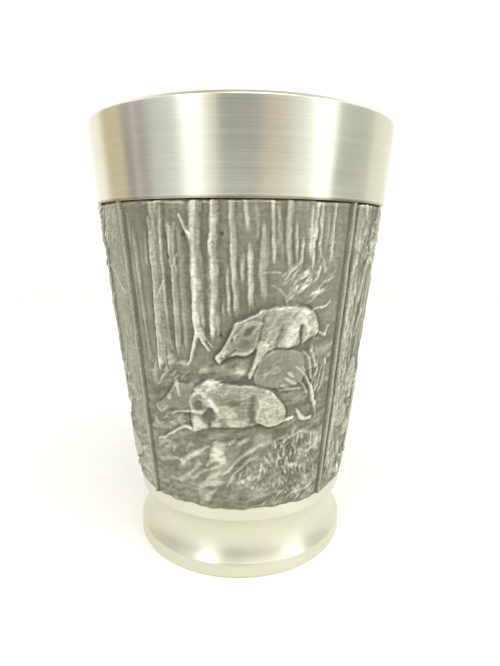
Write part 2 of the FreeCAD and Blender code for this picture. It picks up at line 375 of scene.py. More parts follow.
def boar_forest(relief):
    """The wood behind the boars: a broad old tree on the left, thinner ones to the right."""
    ridge, form, strokes = relief.ridge, relief.form, relief.strokes
    for points, width, rise, polish in (
        ([(-41, 44.4), (-40.6, 36), (-40.2, 28)], 0.5, 0.08, 0.02),
        ([(-38.4, 42.6), (-38.2, 36), (-37.2, 27.4)], 0.5, 0.13, 0.14),
        ([(-35.2, 44.5), (-35, 36), (-34.6, 29)], 0.7, 0.07, 0.0),
        ([(-32.9, 42.6), (-33, 38)], 0.3, 0.1, 0.08),
        ([(-18.6, 43), (-18.3, 37), (-18.6, 29.5)], 0.65, 0.1, 0.05),
        ([(-11.3, 44.4), (-11, 40.5)], 0.3, 0.08, 0.06),
        ([(-2.3, 38.4), (-2.0, 36), (-1.3, 33.2)], 0.3, 0.2, 0.26),
        ([(-3.6, 35.6), (-3.5, 33.2)], 0.24, 0.16, 0.16),
        ([(3.9, 44.9), (4.3, 43.6), (4.6, 42.4)], 0.34, 0.18, 0.2),
        ([(3.0, 40), (3.2, 38), (3.1, 36.4)], 0.36, 0.18, 0.16),
        ([(7.3, 44.6), (7.8, 43), (8, 41.2)], 0.24, 0.12, 0.12),
        ([(15.6, 43.6), (15.9, 41.4), (16.2, 39.4)], 0.34, 0.1, 0.1),
        ([(25.4, 43.4), (25.6, 39)], 0.3, 0.08, 0.06),
        ([(33.4, 44.8), (33.5, 40.4)], 0.3, 0.08, 0.08),
    ):
        trunk(relief, points, 1.25 * width, rise, polish)
    for points, width, rise, polish in (
        ([(-0.9, 45), (-0.4, 42), (0.0, 38.4), (0.5, 36), (1.4, 33.6)], 0.42, 0.28, 0.22),
        ([(5.9, 41.2), (5.8, 38), (5.8, 35.6), (6.2, 34)], 0.42, 0.28, 0.26),
        ([(10, 43.4), (10.4, 41), (10.0, 38), (10.5, 34.8)], 0.56, 0.22, 0.1),
        ([(12.8, 45), (13.0, 43), (13.3, 40.6), (14.0, 39.1)], 0.34, 0.24, 0.32),
        ([(14.6, 44.6), (14.8, 42), (15.2, 40)], 0.26, 0.2, 0.26),
        ([(18.4, 45), (18.5, 42), (18.9, 40), (19.6, 38.5)], 0.5, 0.22, 0.18),
        ([(21.0, 43.9), (21.5, 41), (21.3, 38.8)], 0.32, 0.22, 0.32),
        ([(23.5, 42.2), (23.5, 40), (23.6, 38.1)], 0.32, 0.24, 0.4),
        ([(26.6, 44.4), (26.8, 41.4), (27.5, 38.9)], 0.34, 0.22, 0.42),
        ([(28.5, 45), (28.3, 42.4), (28.0, 40.6), (28.6, 38.2)], 0.36, 0.26, 0.42),
        ([(30.4, 45), (30.4, 42.2), (30.5, 40.8), (31.3, 39.8), (30.2, 38.5)], 0.28, 0.2, 0.26),
        ([(35.9, 45), (35.8, 43), (36, 41), (36.1, 38.8)], 0.3, 0.18, 0.14),
    ):
        trunk(relief, points, 1.45 * width, 0.8 * rise, 1.2 * polish)
    old_tree = [(-27.5, 45), (-28, 41), (-28.4, 37), (-28.9, 32), (-29.3, 26.8)]
    trunk(relief, old_tree, 1.75, 0.24, 0.12, taper=(0.9, 1.15))
    ridge([(-30.4, 43.6), (-30.5, 39), (-31.0, 36), (-31.7, 31), (-32.2, 26.8)], 0.34, 0.08, 0.4)
    ridge([(-25.2, 44.6), (-25.7, 41), (-26.0, 37), (-25.8, 32.6), (-25.0, 29.4)], 0.26, 0.08, 0.34)
    ridge([(-26.1, 37), (-27.6, 36.2), (-29.8, 35.2)], 0.28, 0.1, 0.34)
    trunk(relief, [(-22.6, 43.4), (-21.8, 41), (-21.4, 36), (-21.6, 31.6), (-21.6, 28.8)], 0.85, 0.22, 0.1)
    ridge([(-22.6, 43), (-22.6, 40), (-22.6, 34), (-22.8, 31), (-22.4, 28.8)], 0.24, 0.07, 0.34)
    ridge([(-20.4, 43), (-20.8, 41), (-20.3, 38)], 0.24, 0.1, 0.24)
    ridge([(-21.4, 38.6), (-20.6, 39.3), (-19.8, 39.9)], 0.2, 0.12, 0.24)
    main_tree = [(-12.4, 45.4), (-12.6, 43), (-12.8, 41), (-12.7, 38), (-12.9, 34), (-12.9, 30)]
    trunk(relief, main_tree, 1.4, 0.3, 0.46, taper=(0.8, 1.05))
    ridge([(-14.6, 45.2), (-14.8, 42), (-14.9, 38), (-14.9, 34), (-14.6, 31)], 0.44, 0.08, 0.26)
    ridge([(-15.0, 41.8), (-16.8, 42.9), (-18.5, 43.9)], 0.5, 0.26, 0.36, taper=(1, 0.5))
    ridge([(-14.4, 31.4), (-15.6, 29.8), (-17.0, 28.4), (-18.6, 27.8)], 0.66, 0.3, 0.34, taper=(1, 0.5))
    ridge([(-12.6, 31.4), (-11.6, 30.5), (-10.2, 29.9), (-9.2, 29.6)], 0.66, 0.3, 0.36, taper=(1, 0.5))
    ridge([(-12.2, 32), (-10.4, 30.9), (-8.0, 30)], 0.4, 0.18, 0.2, taper=(1, 0.5))
    second_tree = [(-6.2, 45.4), (-6.6, 42.6), (-6.8, 38), (-6.9, 34), (-7.0, 30.9)]
    trunk(relief, second_tree, 1.25, 0.28, 0.34, taper=(0.75, 0.85))
    ridge([(-7.9, 42), (-8.6, 39), (-8.8, 36), (-8.3, 32.4)], 0.3, 0.06, 0.24)
    for across, up in ((-17, 41.9), (-7.2, 41.1), (-4, 42), (-23.2, 39.6), (-4.6, 31.3)):
        form(diamond(across, up, 0.7, 0.3), -0.2, 0.2)
    ridge([(10.5, 38), (13, 38.05), (16, 38)], 0.2, 0.12, 0.2)
    ridge([(13.4, 36.8), (16, 36.3), (18, 35.7), (19.3, 34.7)], 0.2, 0.12, 0.12)
    strokes([(34.6, 42.4), (36.8, 42.6), (37, 40.6), (38, 39.4), (35, 40)], 26, 0.5, 0.16, 0.09, 62, 20,
            0.24)
    for points, count, slant, polish in (
        ([(17.6, 37.6), (20, 37), (22.6, 38.3), (19.6, 38.8)], 10, 48, 0.4),
        ([(19.6, 35.6), (21.6, 35.5), (25, 36.6), (28.6, 38), (26, 38.4), (22, 37.2)], 22, 42, 0.4),
        ([(23.6, 35.8), (25.2, 35.8), (28.6, 37.2), (28, 37.7), (25, 36.8)], 10, 44, 0.42),
        ([(27.6, 34.7), (30.6, 35.3), (38.4, 37.4), (38.8, 38.3), (35, 37.4), (29, 35.9)], 20, 36, 0.34),
        ([(29.4, 35.4), (33, 35.6), (37.8, 35.9), (37, 36.5), (32, 36.2)], 10, 28, 0.2),
        ([(29.8, 37.2), (31, 37.6), (32.4, 38.8), (31.4, 38.9), (30.4, 38.2)], 8, 62, 0.34),
        ([(32.8, 38.1), (34.2, 38.2), (33.8, 39.2), (32.9, 39.3)], 5, 110, 0.3),
    ):
        strokes(points, 1.5 * count, 1.1, 0.19, 0.1, slant, 9, 0.72 * polish)


def upper_boar(relief):
    """The boar at the rear, which walks to the left with its head low."""
    ridge, form, strokes = relief.ridge, relief.form, relief.strokes
    ridge([(29.3, 33.9), (32.6, 34.15), (35.8, 34.15), (38.2, 34.7)], 0.26, 0.22, 0.42, taper=(0.8, 0.7))
    ridge([(32, 31.4), (34.6, 31.2), (36.6, 30.9)], 0.5, 0.2, 0.2)
    ridge([(36.6, 30.9), (37.8, 31.4), (38.8, 31.9)], 0.28, 0.2, 0.3)
    body = [
        (8.5, 34), (13, 34.25), (18, 34.45), (24, 34.35), (29, 34.15), (31.9, 33.3), (33.1, 31.8),
        (32.6, 31), (30, 30.8), (26, 30.2), (21, 29.8), (16, 29.9), (12.5, 29.6), (9.5, 30), (7.5, 32),
    ]
    form(body, 0.36, 1.9, 0.03, level=0.08)
    form([(21, 33), (24, 34.1), (28.5, 34.1), (31.8, 33), (32.9, 31.6), (31.4, 31), (28.8, 31.4),
          (26.4, 32.2), (23, 32.4)], 0.12, 0.9, 0.17)
    form([(21.6, 33.4), (24.5, 33.9), (28.2, 33.7), (28, 32.9), (24, 32.7)], 0.05, 0.7, 0.2)
    ridge([(26.3, 32.7), (28, 31.8), (27.8, 31), (26.5, 30.3)], 0.55, 0.16, 0.36, taper=(1, 0.6))
    form([(15.8, 30), (17.8, 31.1), (19, 32.2), (22, 32.9), (24.2, 32.5), (23.8, 31.4), (22.7, 30.5),
          (21.4, 29.9), (18.4, 29.7)], 0.12, 0.6, 0.34)
    ridge([(25.1, 32.3), (25.3, 31.2), (25.7, 30.3)], 0.5, -0.22, -0.2)
    ridge([(17.6, 32.4), (16.3, 31.4), (15.3, 30.3)], 0.5, -0.08, -0.12)
    form([(10, 33.4), (14, 33.3), (16, 31.9), (14.6, 30.5), (12, 29.6), (9.4, 30), (8.4, 31.6)], 0.08, 0.8)
    form([(8.6, 30.9), (12.9, 30.5), (12.2, 29.4), (10.2, 28.6), (8.4, 27.9), (7.3, 27.1), (6.2, 26.3),
          (5.1, 26.7), (6.5, 28), (7.8, 29.2)], 0.22, 0.4, 0.3, level=0.16)
    head = [
        (9.8, 33.9), (6, 33.5), (3, 33.05), (0.2, 32.8), (-0.8, 32.1), (-2.2, 31.1), (-3.7, 30.25),
        (-5.4, 29.5), (-7.2, 28.85), (-5.5, 28.1), (-4.2, 28.5), (-2, 28.85), (1, 29), (5, 29.05),
        (7.2, 29.6), (8.8, 30.8), (10.2, 32.4),
    ]
    form(head, 0.3, 0.9, -0.12, level=0.2, moat=0.09)
    ridge([(-0.6, 32.3), (0.4, 32.75), (3, 33), (6, 33.4), (9.6, 34)], 0.3, 0.08, 0.34)
    ridge([(-0.6, 31.9), (-2.6, 30.7), (-4.4, 29.7), (-6.2, 28.9)], 0.5, 0.1, 0.34, taper=(0.7, 1.1))
    form([(-7.3, 28.9), (-6.2, 29.1), (-4.7, 28.7), (-5.4, 28.1)], 0.08, 0.2, 0.34)
    ridge([(-3.9, 28.95), (-3.6, 29.3), (-2.7, 29.7)], 0.26, 0.12, 0.5)
    ridge([(-4.7, 28.75), (-2.2, 29.05), (0.2, 29.7)], 0.2, -0.14, -0.2)
    ridge([(-0.8, 29.1), (1, 29.35), (4.4, 29.4), (6.6, 29.8)], 0.42, 0.08, 0.34)
    ridge([(-0.5, 31.6), (0.5, 32.2), (2, 32.6)], 0.22, 0.07, 0.26)
    strokes([(0, 30.5), (2.2, 30.6), (2.4, 31.4), (0.4, 31.6)], 14, 0.5, 0.16, 0.07, 70, 14, 0.24)
    form([(-1.2, 30.75), (-0.7, 31.1), (-0.1, 30.85), (-0.6, 30.55)], -0.16, 0.14, -0.1)
    form([(1.8, 31.3), (3, 32.1), (5, 32.8), (8, 33), (10, 32.8), (8.6, 32.1), (7, 31.4), (5.4, 31),
          (3.4, 30.9)], 0.14, 0.3)
    form([(3.6, 31.5), (5, 32.2), (7, 32.5), (7.6, 32.3), (6.2, 31.6), (5, 31.3)], -0.18, 0.3, -0.1)
    ridge([(1.5, 31.5), (3.2, 32.2), (5, 32.7), (7.6, 32.9), (9.8, 32.8)], 0.28, 0.06, 0.34)
    ridge([(9.8, 32.8), (8.4, 32.3), (7.2, 31.8), (6.4, 31.1)], 0.2, 0.06, 0.22)
    strokes([(3, 32.9), (10, 33.9), (22, 34.2), (22, 34.7), (14, 34.6), (8, 34.1)], 60, 0.5, 0.13, 0.09, 32,
            14, 0.14)
    strokes([(6.6, 29.8), (9, 30.4), (9.4, 32), (8, 31.4)], 26, 0.7, 0.13, 0.06, 72, 10, 0.08)
    strokes(body, 340, 0.8, 0.16, 0.06, 38, 16, 0.15)
    strokes([(8.6, 30.5), (12.6, 30.6), (11, 28.8), (6.4, 26.8)], 50, 0.5, 0.13, 0.05, 66, 12, 0.06)


def lower_boar(relief):
    """The boar in front, which runs to the left at full stretch."""
    ridge, form, strokes = relief.ridge, relief.form, relief.strokes
    form([(26, 22.4), (27.4, 22.1), (28.8, 21.6), (31, 21.15), (34.4, 21.1), (33.6, 20.7), (30.4, 20.65),
          (27.4, 21), (26.6, 21.5)], 0.2, 0.3, 0.36, level=0.1)
    body = [
        (-16.8, 24.9), (-13, 25.9), (-9, 26.3), (-5, 25.95), (0, 25.75), (6, 25.6), (11, 25.25),
        (15.5, 24.6), (18.6, 23.6), (20.6, 22.6), (21.4, 21.6), (20, 20.9), (15, 20.4), (9, 20.7),
        (3, 20.35), (-4, 20.3), (-10, 20.4), (-17.4, 19.7), (-18.8, 21.6),
    ]
    head = [
        (-16, 25.6), (-20, 25.5), (-24, 25.4), (-27, 24.6), (-29.8, 23.7), (-33, 22.8), (-36.7, 22.3),
        (-36.4, 21.5), (-33.6, 21.2), (-30, 21.8), (-26, 22.2), (-21, 22), (-16, 21.8),
    ]
    ridge([(-17.4, 19.85), (-21.4, 20.1), (-25.2, 19.5), (-29.4, 18.7), (-33, 18.1), (-37, 17.6)], 0.62,
          0.26, 0.28, taper=(1, 0.4))
    ridge([(-20.4, 20.1), (-23.4, 20.3), (-24.6, 20.5)], 0.34, 0.12, 0.2)
    form(head, 0.2, 0.9, -0.06, level=0.1, moat=0.07)
    form([(-25.9, 24.7), (-25.2, 25.5), (-23.6, 25.8), (-22.7, 24.9), (-22.5, 23.9), (-23.6, 24.2),
          (-24.4, 24.9)], 0.14, 0.3, 0.34)
    form([(-29.6, 23.6), (-28, 23.95), (-26.9, 23.3), (-28.5, 23.15)], 0.08, 0.25, 0.3)
    form([(-36.7, 22.3), (-34.6, 22.1), (-33.4, 21.5), (-34.6, 21.2)], 0.06, 0.25, 0.26)
    ridge([(-33, 21.5), (-31.2, 21.8), (-29.6, 22.3)], 0.3, 0.08, 0.2)
    form([(-26.6, 24), (-26.2, 24.25), (-25.7, 24), (-26.2, 23.8)], -0.14, 0.14)
    form(body, 0.34, 1.9, -0.02, level=0.12, moat=0.07)
    ridge([(-13.6, 22.2), (-17, 22.2), (-20.4, 22.1), (-24, 21.9), (-27.2, 21.5)], 0.56, 0.22, 0.26,
          taper=(1, 0.5))
    ridge([(-17.3, 22.3), (-18.2, 23.2), (-16.9, 24.2), (-14, 24.7), (-11.4, 24.3), (-9, 23.5), (-7, 22.7)],
          0.66, 0.12, 0.4, taper=(0.7, 1))
    form([(-13, 24.6), (-10.8, 24.9), (-8.4, 24.1), (-7, 23.2), (-9, 22.9), (-12.6, 23.2)], 0.07, 0.5, 0.34)
    form([(-16.8, 23.2), (-15.4, 23.9), (-13.4, 23.7), (-13.2, 22.9), (-14.8, 22.5), (-16.2, 22.6)], -0.12,
         0.5, -0.12)
    form([(-13.6, 21.8), (-12, 22.6), (-10, 23), (-8.3, 22.8), (-7.3, 21.8), (-8.6, 21.2), (-10.4, 20.5),
          (-12, 21)], -0.16, 0.6, -0.18)
    form([(-17.8, 21.3), (-16, 21.9), (-13.2, 21.2), (-11.2, 20.5), (-12.4, 20), (-16.5, 19.6),
          (-18.1, 19.9)], 0.14, 0.5, 0.42)
    form([(-7.8, 23), (-5.4, 23.4), (-1, 22.9), (1.6, 22.2), (0.4, 21.6), (-4, 21.7), (-6.6, 21.9)], 0.08,
         0.6, 0.32)
    form([(-3.6, 21.3), (0, 21.7), (4, 21.3), (5.6, 20.9), (3, 20.5), (0.5, 20.25), (-2.6, 20.6)], 0.08,
         0.5, 0.3)
    form([(-9.6, 20.8), (-7, 21.2), (-5.2, 20.9), (-6.4, 20.4), (-8.6, 20.4)], 0.08, 0.3, 0.3)
    form([(-4, 23.5), (-1, 24), (2, 23.7), (1.4, 23.2), (-2, 23)], -0.08, 0.5, -0.1)
    ridge([(7.6, 24.3), (6.6, 22.9), (7.4, 21.7), (9.4, 20.8)], 1.2, -0.13, -0.13, taper=(0.8, 1))
    ridge([(2.6, 24.1), (6, 24.5), (9.8, 24.6)], 0.4, 0.07, 0.2)
    haunch = [(9.9, 24.5), (13, 24.9), (16.5, 24.3), (19, 23.3), (20.9, 22.1), (19.8, 21.2), (16.5, 20.4),
              (11.5, 20.7), (8.8, 21.3), (8.5, 21.9), (9.8, 23)]
    form(haunch, 0.1, 1.1, 0.14)
    ridge([(10.2, 24), (10, 23), (8.7, 21.9), (9.4, 21.2), (12, 20.75), (16, 20.6), (19.6, 21),
           (24.6, 21.35)], 0.42, 0.07, 0.3)
    ridge([(15, 24.6), (18, 23.6), (20, 22.6), (20.8, 22)], 0.5, 0.06, 0.26)
    ridge([(18.6, 21), (21.6, 21.15), (24.7, 21.4)], 0.42, 0.22, 0.2, taper=(1, 0.8))
    form([(16.1, 22.2), (16.8, 22.6), (17.5, 22.2), (16.8, 21.8)], -0.1, 0.3, -0.14)
    form([(11, 21.7), (12, 22.1), (13, 21.7), (12, 21.4)], -0.06, 0.3, -0.1)
    strokes([(-17, 24.8), (-13, 25.7), (-8, 26.4), (-4, 25.9), (-9, 25), (-13, 24.9)], 90, 0.75, 0.14, 0.09,
            30, 12, 0.18)
    strokes([(-8, 25.2), (-3, 25.6), (8, 25.4), (13, 24.8), (6, 24.7), (-3, 24.2), (-8, 24.2)], 110, 0.6,
            0.13, 0.05, 4, 14, 0.07)
    strokes(body, 300, 0.8, 0.16, 0.06, 8, 20, 0.15)
    strokes(haunch, 60, 1.1, 0.22, 0.05, -35, 16, 0.12)
    strokes([(-22, 25.4), (-19, 24.6), (-19, 22.6), (-24, 22.8)], 50, 0.6, 0.13, 0.05, 24, 16, 0.03)


def boar_undergrowth(relief):
    """The mound, the ferns, and the ground below the boars."""
    ridge, form, strokes = relief.ridge, relief.form, relief.strokes
    mound = [(7.4, 26.4), (9, 28.1), (11.4, 29.1), (14.6, 29.65), (20, 29.6), (25, 29.3), (28, 28.4),
             (28, 26), (20, 25.2), (10, 25.3)]
    form(mound, 0.16, 1.2, -0.02, level=0.12)
    ridge([(7.6, 26.6), (9, 28), (11.2, 28.9), (14, 29.4)], 0.5, 0.06, 0.2)
    strokes([(10.5, 26.4), (14, 26.6), (18.4, 27.6), (16, 28.4), (12, 27.6)], 22, 1.0, 0.22, 0.06, 36, 10,
            0.06)
    ridge([(14.4, 27.5), (16, 27.8), (17.2, 27.5)], 0.3, 0.08, 0.16)
    for points, width, polish in (
        ([(35.2, 22.1), (33, 24), (31, 25.2), (28.9, 26.3), (26.5, 27.1), (24.2, 27.5)], 0.42, 0.2),
        ([(33.2, 23), (32, 24.6), (30, 26), (28.4, 27.1), (26.8, 27.5)], 0.32, 0.18),
        ([(31.9, 25.9), (31, 27.4), (30, 28.3), (28.8, 28.8), (27, 29.2)], 0.32, 0.22),
        ([(33.6, 27.3), (32.6, 28.2), (31.2, 29.1), (30.2, 29.5)], 0.34, 0.26),
        ([(30.4, 24.2), (28.6, 25.1), (26.8, 25.8)], 0.34, 0.18),
        ([(32, 24.9), (33.2, 26), (34.6, 27.1)], 0.3, 0.14),
        ([(34.9, 24.3), (35.8, 25.6), (37, 27.3)], 0.3, 0.1),
        ([(36.7, 24.1), (38, 25.8), (38.3, 27.5)], 0.3, 0.1),
        ([(33.9, 23.6), (34.2, 26), (34.6, 28.4)], 0.26, 0.06),
        ([(35.4, 22), (36.2, 21.2), (36.4, 20.6)], 0.3, 0.12),
        ([(34.3, 22.6), (35.6, 23), (35.8, 22.2)], 0.34, 0.16),
    ):
        ridge(points, 1.15 * width, 0.2, 1.1 * polish, taper=(1.1, 0.5))
    for leaf, polish in (
        ([(26.2, 25.4), (23, 25.5), (19, 26.2), (20.6, 26.3), (24, 25.9)], 0.22),
        ([(24.2, 26.3), (22, 26.4), (20.2, 26.8), (21.6, 27.1), (23, 26.8)], 0.34),
        ([(22, 25), (19, 24.9), (17.6, 25.4), (20, 25.5)], 0.1),
        ([(37.2, 27.6), (38.4, 28.1), (39.4, 27.7), (38.6, 27.3)], 0.4),
        ([(30, 29.9), (31.6, 29.8), (31.2, 29.1), (29.8, 29.2)], 0.22),
    ):
        form(leaf, 0.16, 0.25, polish)
    ridge([(16.6, 25.2), (18.6, 24.75), (23, 24.95), (27.8, 24.85)], 0.24, 0.14, 0.22)
    ridge([(35, 22.6), (33.4, 23.8), (31.6, 24.9)], 0.7, 0.14, 0.12)
    for points, polish in (
        ([(-10.6, 17.6), (-9, 18.7), (-6, 18.7), (-3.6, 18.4), (-4.4, 17.2), (-3.4, 16), (-6.6, 15.6),
          (-9, 15.9), (-13.6, 14.9), (-12, 16)], 0.34),
        ([(-4, 18.4), (-1, 18.9), (0.8, 19.2), (0.2, 18.6), (-2.6, 18.1)], 0.2),
        ([(1, 18.4), (3, 18.8), (6.3, 19.4), (6.4, 19), (4.4, 18.3), (2.6, 18.1)], 0.26),
        ([(-17, 10), (-14, 11.2), (-10, 12.1), (-7.4, 12.6), (-9.6, 11.6), (-13, 10)], 0.16),
        ([(-14, 12.9), (-12, 13.9), (-9, 14.5), (-4.6, 14.6), (-8, 13.9), (-11.6, 13.2)], 0.26),
        ([(31, 11.2), (34, 11.4), (38.6, 12.2), (37, 11.2)], 0.14),
    ):
        form(points, 0.12, 1.1, 1.4 * polish)
    for points, polish in (
        ([(-18, 11.5), (-12, 14.2), (-9.5, 17.6), (-3, 18.9), (3, 18.2), (-1, 15.2), (-7, 12.4),
          (-14, 10.4)], 0.2),
        ([(-29, 13.6), (-21, 16.6), (-12, 17.6), (-14, 15.2), (-22, 12.8)], 0.13),
        ([(3, 16.6), (8, 18.6), (14, 18.6), (9, 16.4)], 0.1),
        ([(-4, 11), (4, 14.4), (12, 15.2), (8, 12)], 0.08),
    ):
        form(points, 0.05, 2.2, polish)
    for points, width, polish in (
        ([(-10.8, 17.9), (-14.6, 17.3), (-17.6, 16.7), (-21, 16.1), (-24.4, 15.2)], 0.42, 0.26),
        ([(-8, 15.2), (-13, 14.7), (-16, 14.1), (-19.4, 13.4)], 0.3, 0.18),
        ([(-16.8, 14.9), (-20, 14.2), (-22.4, 13.5), (-26, 12.7)], 0.36, 0.2),
        ([(-30, 15.5), (-27.4, 15.6), (-24.6, 15.4)], 0.34, 0.14),
        ([(-22.2, 16.8), (-20.9, 17.4), (-19.6, 17.8)], 0.3, 0.14),
        ([(-18.8, 14.9), (-17, 15.3), (-16, 15.4)], 0.3, 0.14),
        ([(-37.2, 17.7), (-34.8, 18), (-32.8, 17.8)], 0.3, 0.12),
        ([(-34, 16.6), (-31.4, 16.9), (-30.4, 17.4)], 0.34, 0.1),
        ([(-29.6, 16.3), (-28, 17.3)], 0.3, 0.12),
        ([(-39.8, 19.4), (-38.6, 19.7), (-37.6, 19.9)], 0.4, 0.22),
        ([(-3.9, 12.7), (-2.4, 13.3), (-1, 13.9)], 0.3, 0.2),
        ([(-5.6, 14.2), (-3, 14.9), (0, 15.85), (3.4, 16.8), (6.8, 17.5), (10, 18), (14.4, 18.6)], 0.34,
         0.26),
        ([(-1, 14.2), (2, 15.05), (5, 15.95), (9.2, 16.6)], 0.26, 0.14),
        ([(16, 18.4), (20, 18.9), (22, 19.1)], 0.24, 0.14),
        ([(20.4, 18.2), (23, 18.8), (24.8, 19), (26.2, 20)], 0.26, 0.22),
        ([(25.6, 18.9), (29, 19.3), (33, 18.9), (37, 18.7)], 0.3, 0.2),
        ([(28.8, 16.8), (31, 16.75), (34, 16.5), (36, 16.8), (40, 16.3)], 0.28, 0.22),
        ([(22.6, 15.3), (25, 15.1), (27, 15)], 0.3, 0.2),
        ([(28.2, 14.8), (30, 14.7), (31.6, 14.5)], 0.3, 0.2),
        ([(-34, 27.6), (-35, 26.4), (-35.6, 25.2)], 0.5, 0.06),
        ([(-32.2, 25.5), (-30.2, 26.1), (-28.2, 26.9)], 0.3, 0.14),
        ([(-23.6, 27.6), (-21.4, 27.9), (-19.4, 27.85)], 0.32, 0.2),
        ([(-13.8, 27), (-12.4, 27.3), (-11.2, 27.4)], 0.4, 0.22),
        ([(-27.2, 28.3), (-26, 28.5), (-25.2, 28)], 0.4, 0.12),
        ([(0.4, 27.1), (1.8, 27.4), (2.6, 27.3)], 0.36, 0.16),
    ):
        ridge(points, 3.2 * width, 0.08, 0.9 * polish, taper=(0.3, 1))
        ridge(points, width, 0.04, 0.3 * polish, taper=(0.5, 1))
    for across, up in ((3.8, 13.3), (7.7, 12.6), (6.1, 13.9), (10.9, 14.9)):
        form(diamond(across, up, 0.9, 0.28), 0.18, 0.25, 0.3)
    for points, count, slant, polish in (
        ([(11, 15), (16, 18.2), (20, 18.6), (19, 15.4)], 60, 108, 0.14),
        ([(19, 16), (22, 19), (30, 19), (38.6, 18.4), (39, 16.8), (28, 15.6)], 120, 96, 0.14),
        ([(18, 11.8), (20, 15), (32, 15.6), (39.6, 15), (39, 12), (28, 11.2)], 120, 112, 0.14),
        ([(1, 13.6), (6, 15.6), (18, 15.4), (14, 12.4)], 50, 80, 0.08),
        ([(12, 10), (20, 11.6), (40, 11.6), (40, 10)], 60, 40, 0.1),
        ([(-42, 18), (-24, 16), (-30, 10.4), (-42, 10.4)], 12, 20, 0.04),
        ([(-34, 22.6), (-28, 21.4), (-20, 21.4), (-28, 19.4), (-38, 19.6)], 14, 20, 0.12),
        ([(-36, 28), (-18, 27.6), (-20, 26), (-34, 25)], 14, 38, 0.14),
    ):
        strokes(points, count, 0.85, 0.22, 0.12, slant, 16, polish)


def boars_scene():
    """Two wild boars in a winter wood."""
    relief = Relief(seed=11)
    forest_floor(relief, [(-45, 27), (-30, 27.5), (-18, 28.5), (-6, 29.5), (10, 31), (45, 31)])
    boar_forest(relief)
    boar_undergrowth(relief)
    upper_boar(relief)
    lower_boar(relief)
    relief.finish()
    return relief


def far_wood(relief, left, right, low, polish=0.18):
    """A distant wood between two angles: thin trunks of every height and tone, down to a low edge."""
    across = left
    while across < right:
        across += relief.random.uniform(1.1, 3.4)
        top = relief.random.uniform(38, 46)
        foot = low + relief.random.uniform(-0.6, 2.4)
        sway = relief.random.normal(0, 0.5, 3)
        points = [(across + sway[0], top), (across + sway[1], (top + foot) / 2), (across + sway[2], foot)]
        width = relief.random.uniform(0.24, 0.62)
        trunk(relief, points, width, relief.random.uniform(0.08, 0.24),
              polish * relief.random.uniform(0, 1.6))


def rough_ground(relief, left, right, low, high, count, polish=0.16):
    """Litter, roots and snowy patches scattered over the ground."""
    for _ in range(count):
        across, up = relief.random.uniform((left, low), (right, high))
        long = relief.random.uniform(1.5, 6.5)
        tilt = relief.random.normal(0.35, 0.5)
        strength = relief.random.uniform(0.2, 1.3)
        if relief.random.random() < 0.22:
            lumpy = [(math.cos(turn),
                      math.sin(turn)) for turn in np.arange(6) + relief.random.uniform(0, 1)]
            blob = [(across + long * x * relief.random.uniform(0.5, 1), up + 0.55 * y) for x, y in lumpy]
            relief.form(blob, 0.09, 0.5, polish * strength)
        else:
            bend = (across + long / 2, up + tilt * 0.7)
            relief.ridge([(across, up), bend, (across + long, up + tilt)], 0.36, 0.11, polish * strength,
                         taper=(1, 0.5))


def tufts(relief, spots, height=1.9, polish=0.13):
    """Tufts of grass: bent blades that spring from each (degrees, mm) spot."""
    for across, up in spots:
        for _ in range(8):
            lean = relief.random.normal(0.3, 0.8)
            tall = height * relief.random.uniform(0.45, 1.1)
            start = (across + relief.random.normal(0, 0.8), up + relief.random.normal(0, 0.1))
            bend = (start[0] + lean, start[1] + tall * 0.65)
            tip = (start[0] + lean * 3, start[1] + tall)
            strength = relief.random.uniform(0.4, 1.5)
            relief.ridge([start, bend, tip], 0.28, 0.13, polish * strength, taper=(1.1, 0.5))


def rock(relief, across, up, wide, tall, polish=0.2):
    """A boulder with a worn top and a crack, centred at an angle and a height."""
    round_it = [(-1, -0.1), (-0.75, 0.6), (-0.2, 0.9), (0.45, 0.8), (0.95, 0.2), (0.8, -0.6), (0, -0.85),
                (-0.8, -0.7)]
    outline = [(across + wide * x * relief.random.uniform(0.85, 1.1), up + tall * y) for x, y in round_it]
    relief.form(outline, 0.24, 0.8, polish, level=0.06)
    crack = [(across - 0.3 * wide, up + 0.7 * tall), (across + 0.1 * wide, up), (across - 0.1 * wide,
                                                                                 up - 0.6 * tall)]
    relief.ridge(crack, 0.2, -0.08)
    relief.strokes(outline, 24, 0.7, 0.24, 0.05, 20, 30, 0.1)


def fir(relief, across, top, bottom, reach, polish=0.12):
    """A fir tree: ragged boughs that droop and grow longer towards the foot."""
    relief.ridge([(across, top + 0.6), (across + 0.2, (top + bottom) / 2), (across, bottom - 0.6)], 0.26,
                 0.12, polish)
    for up in np.arange(top, bottom, -0.42):
        wide = reach * (0.1 + 0.9 * (top - up) / (top - bottom))
        for side in (-1, 1):
            long = side * wide * relief.random.uniform(0.45, 1.15)
            drop = 0.25 + 0.05 * abs(long) + relief.random.uniform(0, 0.4)
            points = [(across + 0.1 * long, up), (across + long * 0.6, up - drop * 0.4), (across + long,
                                                                                          up - drop)]
            strength = relief.random.uniform(0.2, 1.5)
            relief.ridge(points, 0.42, 0.13, polish * strength, taper=(0.9, 0.5))


def leaves(relief, outline, count, polish=0.18):
    """A crown of leaves: small lobes that lie every way inside an outline."""
    relief.strokes(outline, count, 0.5, 0.34, 0.13, 40, 70, polish)


